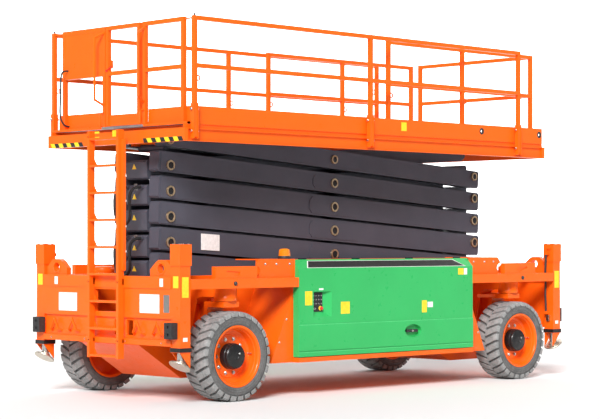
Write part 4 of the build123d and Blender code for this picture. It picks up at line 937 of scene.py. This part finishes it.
def chassis_details():
    bolts, fittings, caps, housings = (bmesh.new() for _ in range(4))
    for end, side in CORNERS.values():
        out = (0, side, 0)
        for z in (1.10, 0.85, 0.60):
            slope_x = 1.440 + (1.205 - z) * 0.36 / 0.83
            add_bolt(bolts, (end * (slope_x - 0.03), side * 1.150, z), out, 0.009)
        for x in (1.55, 1.75, 1.92):
            add_bolt(bolts, (end * x, side * 1.187, 1.46), out, 0.010)
        add_bolt(fittings, (end * 2.41, side * 1.250, 1.257), out, 0.018)
        kingpin = (end * KINGPIN_X, side * KINGPIN_Y)
        add_lathe(caps, CAP_PROFILE, (*kingpin, 1.40), UP, 48)
        add_lathe(housings, HOUSING_PROFILE, (*kingpin, 1.0655), UP, 56, closed=True)
    finish_piece("beam_fittings", fittings, DARK_FITTING, "chassis", 30)
    finish_slot("beam_bolts", bolts, "bright_steel", "chassis", 30)
    finish_slot("kingpin_caps", caps, "orange_paint", "chassis", 35)
    finish_slot("kingpin_housings", housings, "orange_paint", "chassis", 40)


def beacon():
    """Ribbed lens on a round foot."""
    centre = middle("beacon")
    place = (centre.x, centre.y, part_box("beacon")[0].z)
    profile = [(0, 0.030), (0.066, 0.030)]
    for i in range(7):
        z = 0.036 + i * 0.009
        taper = i * 0.0012
        profile += [(0.066 - taper, z), (0.0685 - taper, z + 0.003), (0.066 - taper, z + 0.006)]
    lens = shape(add_lathe, profile + [(0.052, 0.106), (0.030, 0.114), (0, 0.115)], place, UP, 48)
    finish_slot("beacon_dome", lens, "beacon_lens", "chassis", 45, node="beacon")
    foot = bmesh.new()
    add_lathe(foot, [(0, 0), (0.072, 0), (0.075, 0.004), (0.075, 0.022), (0.070, 0.032), (0, 0.032)],
              place, UP, 48)
    piece = finish_piece("beacon_foot", foot, MATERIALS["black_rubber"], "chassis", 40)
    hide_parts("beacon")


# -------- platform
FRAME_REAR_X, _, FRAME_LOW_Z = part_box("platform_frame")[0]
REAR_POST_X = -2.950
SIDE_POSTS = [(x, side) for x in (REAR_POST_X, -0.287, 2.375) for side in (-1, 1)]
SIDE_POST_Y = 1.207
TOE_BOARD_Y = 1.162
STRIPE_W = 0.072
STRIPE_SLANT = 0.030
STRIPE_H = 0.048


def hazard_stripes():
    """Yellow and black slanted blocks along the frame's rear face, on both sides of the ladder."""
    yellow, black = bmesh.new(), bmesh.new()
    low = FRAME_LOW_Z + 0.001
    high = low + STRIPE_H
    for y0, y1 in ((0.529, 1.160), (-1.160, -0.498)):
        for i in range(int((y1 - y0) / STRIPE_W)):
            near = y0 + i * STRIPE_W
            far = near + STRIPE_W
            outline = [(near, low), (far, low), (min(far + STRIPE_SLANT, y1), high),
                       (min(near + STRIPE_SLANT, y1), high)]
            film = yellow if i % 2 else black
            add_prism(film, outline, "X", FRAME_REAR_X - FILM_LIFT, FRAME_REAR_X + 0.0005)
    finish_piece("hazard_yellow", yellow, YELLOW, "platform", 0)
    finish_piece("hazard_black", black, BLACK_FILM, "platform", 0)


def platform_films():
    films = bmesh.new()
    for y0, y1, z0, z1 in ((0.250, 0.330, 2.888, 2.910), (0.250, 0.330, 2.828, 2.850),
                           (-0.078, 0.022, 2.833, 2.912)):
        add_box(films, (FRAME_REAR_X - FILM_LIFT, y0, z0), (FRAME_REAR_X, y1, z1))
    for side in (-1, 1):
        add_box(films, (0.285, side * TOE_BOARD_Y, 2.995), (0.375, side * (TOE_BOARD_Y + FILM_LIFT), 3.095))
    finish_piece("platform_films", films, YELLOW, "platform", 0, 0.0003)


def rail_pins():
    """Pins through the posts' brackets, and the links and pins at the rear rail's corners."""
    pins = bmesh.new()
    for x, side in SIDE_POSTS:
        y = side * SIDE_POST_Y
        for z in (2.86, 3.09):
            add_rod(pins, (x - 0.048, y, z), (x + 0.048, y, z), 0.009, 16)
            for out in (-1, 1):
                add_disc(pins, (x + out * 0.048, y, z), (out, 0, 0), 0.015, 0.006)
    finish_slot("bracket_pins", pins, "bright_steel", "platform", 35)
    links = bmesh.new()
    for y0, y1 in ((1.0275, 1.185), (-1.0575, -1.185)):
        add_rod(links, (REAR_POST_X, y0, 4.043), (REAR_POST_X, y1, 4.043), 0.008, 14)
    link_pins = bmesh.new()
    for side in (-1, 1):
        y = side * SIDE_POST_Y
        add_rod(link_pins, (REAR_POST_X, y, 4.065), (REAR_POST_X, y, 4.090), 0.009, 20)
        add_disc(link_pins, (REAR_POST_X, y, 4.065), UP, 0.015, 0.005)
    finish_slot("rail_links", links, "orange_paint", "platform", 40)
    finish_piece("rail_link_pins", link_pins, MATERIALS["black_paint"], "platform", 40)


def deck_trim():
    """Strips along the deck's rear edge, wire loops on the gate's posts, and black rings in the toe boards'
    holes that paint their shade.
    """
    edges = bmesh.new()
    for y0, y1 in ((0.2865, 1.150), (-1.150, -0.4275)):
        add_box(edges, (-3.0025, y0, 2.936), (-2.926, y1, 2.9615))
    finish_piece("deck_edge_strips", edges, MATERIALS["orange_paint"], "platform", 0, 0.0008)
    loops = bmesh.new()
    near = -2.9705
    far = -3.0225
    for y in (0.284, -0.405):
        route = [(near, y, 2.960), (far, y, 2.975), (far, y, 3.105), (near, y, 3.120)]
        for start, stop in zip(route, route[1:]):
            add_rod(loops, start, stop, 0.007, 14)
    finish_piece("gate_post_loops", loops, MATERIALS["orange_paint"], "platform", 40)
    # Black rubber rings line the toe boards' holes and flare over their rims. They paint the shade inside the
    # holes.
    hole_shade_rings = bmesh.new()
    profile = [(0.019, -0.014), (0.0315, -0.014), (0.0315, 0.0002), (0.040, 0.0002), (0.040, 0.003),
               (0.019, 0.003)]
    for x in (1.730, 2.847):
        for side in (-1, 1):
            add_lathe(hole_shade_rings, profile, (x, side * TOE_BOARD_Y, 3.050), (0, side, 0), 32, closed=True)
    finish_piece("toe_board_hole_shade_rings", hole_shade_rings, MATERIALS["black_rubber"], "platform", 40)


def post_plugs_and_latch():
    """Plugs in the tops of the side posts, and the gate's red latch."""
    plugs = bmesh.new()
    for x, side in SIDE_POSTS:
        y = side * SIDE_POST_Y
        add_box(plugs, (x - 0.020, y - 0.020, 4.064), (x + 0.020, y + 0.020, 4.0655))
    finish_piece("rail_plugs", plugs, MATERIALS["black_rubber"], "platform", 0, 0.0005)
    latch = shape(add_box, (-2.984, 0.212, 3.5675), (-2.952, 0.240, 3.590))
    add_rod(latch, (-2.968, 0.226, 3.586), (-2.968, 0.150, 3.622), 0.007, 16)
    finish_piece("gate_latch", latch, RED, "gate", 30, 0.003)


def control_station():
    """Operator's controls on the box behind the rear rail."""
    low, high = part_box("control_box")
    mid_y = (low.y + high.y) / 2
    ahead = (1, 0, 0)
    lever = bmesh.new()
    add_lathe(lever, [(0, 0), (0.030, 0), (0.028, 0.010), (0.016, 0.022), (0.014, 0.060), (0.018, 0.072),
                      (0.016, 0.090), (0, 0.095)], (high.x - 0.004, mid_y + 0.09, low.z + 0.13), ahead, 32)
    finish_piece("control_lever", lever, MATERIALS["black_rubber"], "platform", 40)
    stop = bmesh.new()
    add_lathe(stop, [(0, 0), (0.014, 0), (0.014, 0.012), (0.024, 0.016), (0.024, 0.026), (0, 0.030)],
              (high.x - 0.001, mid_y - 0.12, low.z + 0.16), ahead, 32)
    finish_piece("control_stop_knob", stop, RED, "platform", 40)
    buttons = bmesh.new()
    for i in range(4):
        add_disc(buttons, (high.x - 0.001, mid_y - 0.05 + i * 0.032, low.z + 0.19), ahead, 0.010, 0.008)
    finish_piece("control_buttons", buttons, YELLOW, "platform", 40)


# -------- lift cylinders
EYE_HALF_W = 0.045


def lift_cylinders():
    """Round barrels and rods over the plain ones, eye to eye."""
    for number in (1, 2):
        barrel_node = f"lift_barrel_{number}"
        rod_node = f"lift_rod_{number}"
        base = joint_place(f"{barrel_node}_turn")
        along = Vector(JOINTS[f"{rod_node}_slide"]["axis"]).normalized()
        tip_x = 2 * STACK_X - base.x
        length = (tip_x - base.x) / along.x
        barrel = bmesh.new()
        add_lathe(barrel, [(0.040, 0.120), (0.040, length - 0.130), (0.064, length - 0.130),
                           (0.0655, length - 0.134), (0.0655, length - 0.205), (0.062, length - 0.212),
                           (0.062, 0.070), (0.055, 0.060), (0, 0.060)], base, along, 48)
        half = EYE_HALF_W
        ring = [(0.0318, -half), (0.055, -half), (0.055, half), (0.0318, half)]
        add_lathe(barrel, ring, base, LEFT, 48, closed=True)
        add_box(barrel, base + Vector((-0.09, -0.04, -0.045)), base + Vector((-0.03, 0.04, 0.045)))
        finish_slot(f"{barrel_node}_skin", barrel, "black_paint", barrel_node, 40, node=barrel_node)
        piston = shape(add_rod, base + along * 0.160, base + along * (length - 0.030), 0.0379, 48)
        eye = base + along * length
        add_lathe(piston, [(0, -half), (0.050, -half), (0.050, half), (0, half)], eye, LEFT, 48)
        half_pin = Vector((0, 0.085, 0))
        add_rod(piston, eye - half_pin, eye + half_pin, 0.0299, 40)
        finish_slot(f"{rod_node}_skin", piston, "bright_steel", rod_node, 40, node=rod_node)


# -------- finishes of the carried-over nodes
def dress_nodes():
    for node, obj in frame["nodes"].items():
        obj.data.materials.clear()
        obj.data.materials.append(MATERIALS[SLOT_OF[node]])


# -------- stage, light and camera
FLOOR_HALF = 180
FLOOR_Z = -0.0005


def add_sheet(name, corners, tone, glow):
    """Plain stage sheet; glow is the strength of its own light."""
    bm = bmesh.new()
    bm.faces.new([bm.verts.new(corner) for corner in corners])
    mesh = bpy.data.meshes.new(name)
    bm.to_mesh(mesh)
    bm.free()
    sheet = new_object(name, mesh)
    mat, tree, shader = new_material(name, (tone, tone, tone), 1.0)
    set_inputs(tree, shader, {"Specular IOR Level": 0, "Emission Color": (1, 1, 1, 1),
                              "Emission Strength": glow})
    mesh.materials.append(mat)


def add_light():
    world = bpy.data.worlds.new("studio")
    world.use_nodes = True
    tree = world.node_tree
    set_inputs(tree, tree.nodes["Background"], {"Color": (1, 1, 1, 1), "Strength": 0.27})
    bpy.context.scene.world = world
    sun = bpy.data.lights.new("sun", "SUN")
    sun.energy = 4.5
    sun.angle = math.radians(20)
    lamp = new_object("sun", sun)
    lamp.rotation_euler = Vector((0.72, 0.56, -0.58)).to_track_quat("-Z", "Y").to_euler()


def add_camera():
    lens = bpy.data.cameras.new("camera")
    lens.lens = 112.63
    lens.sensor_width = 36
    lens.sensor_fit = "HORIZONTAL"
    lens.shift_y = 0.0549
    lens.clip_end = 200
    camera = new_object("camera", lens)
    camera.location = (-15.8505, -15.9963, 1.694)
    camera.rotation_euler = Vector((0.6986, 0.7155, 0)).to_track_quat("-Z", "Y").to_euler()
    bpy.context.scene.camera = camera
    bpy.context.scene.view_settings.view_transform = "Standard"


def studio():
    floor = [(x * FLOOR_HALF, y * FLOOR_HALF, FLOOR_Z) for x, y in ((-1, -1), (1, -1), (1, 1), (-1, 1))]
    add_sheet("floor", floor, 0.82, 0)
    add_sheet("backdrop", [(-10, 70, -1), (-10, 70, 60), (80, -16, 60), (80, -16, -1)], 0.9, 1.0)
    add_light()
    add_camera()


dress_nodes()
studio()
wheels()
arm_pins()
arm_hoses()
cover_fittings()
arm_extras()
post_hoses()
control_cable()
jack_legs()
buffers()
post_details()
end_plates()
eye_rings()
ladder_details()
cover_details()
chassis_details()
beacon()
hazard_stripes()
platform_films()
rail_pins()
deck_trim()
post_plugs_and_latch()
control_station()
lift_cylinders()
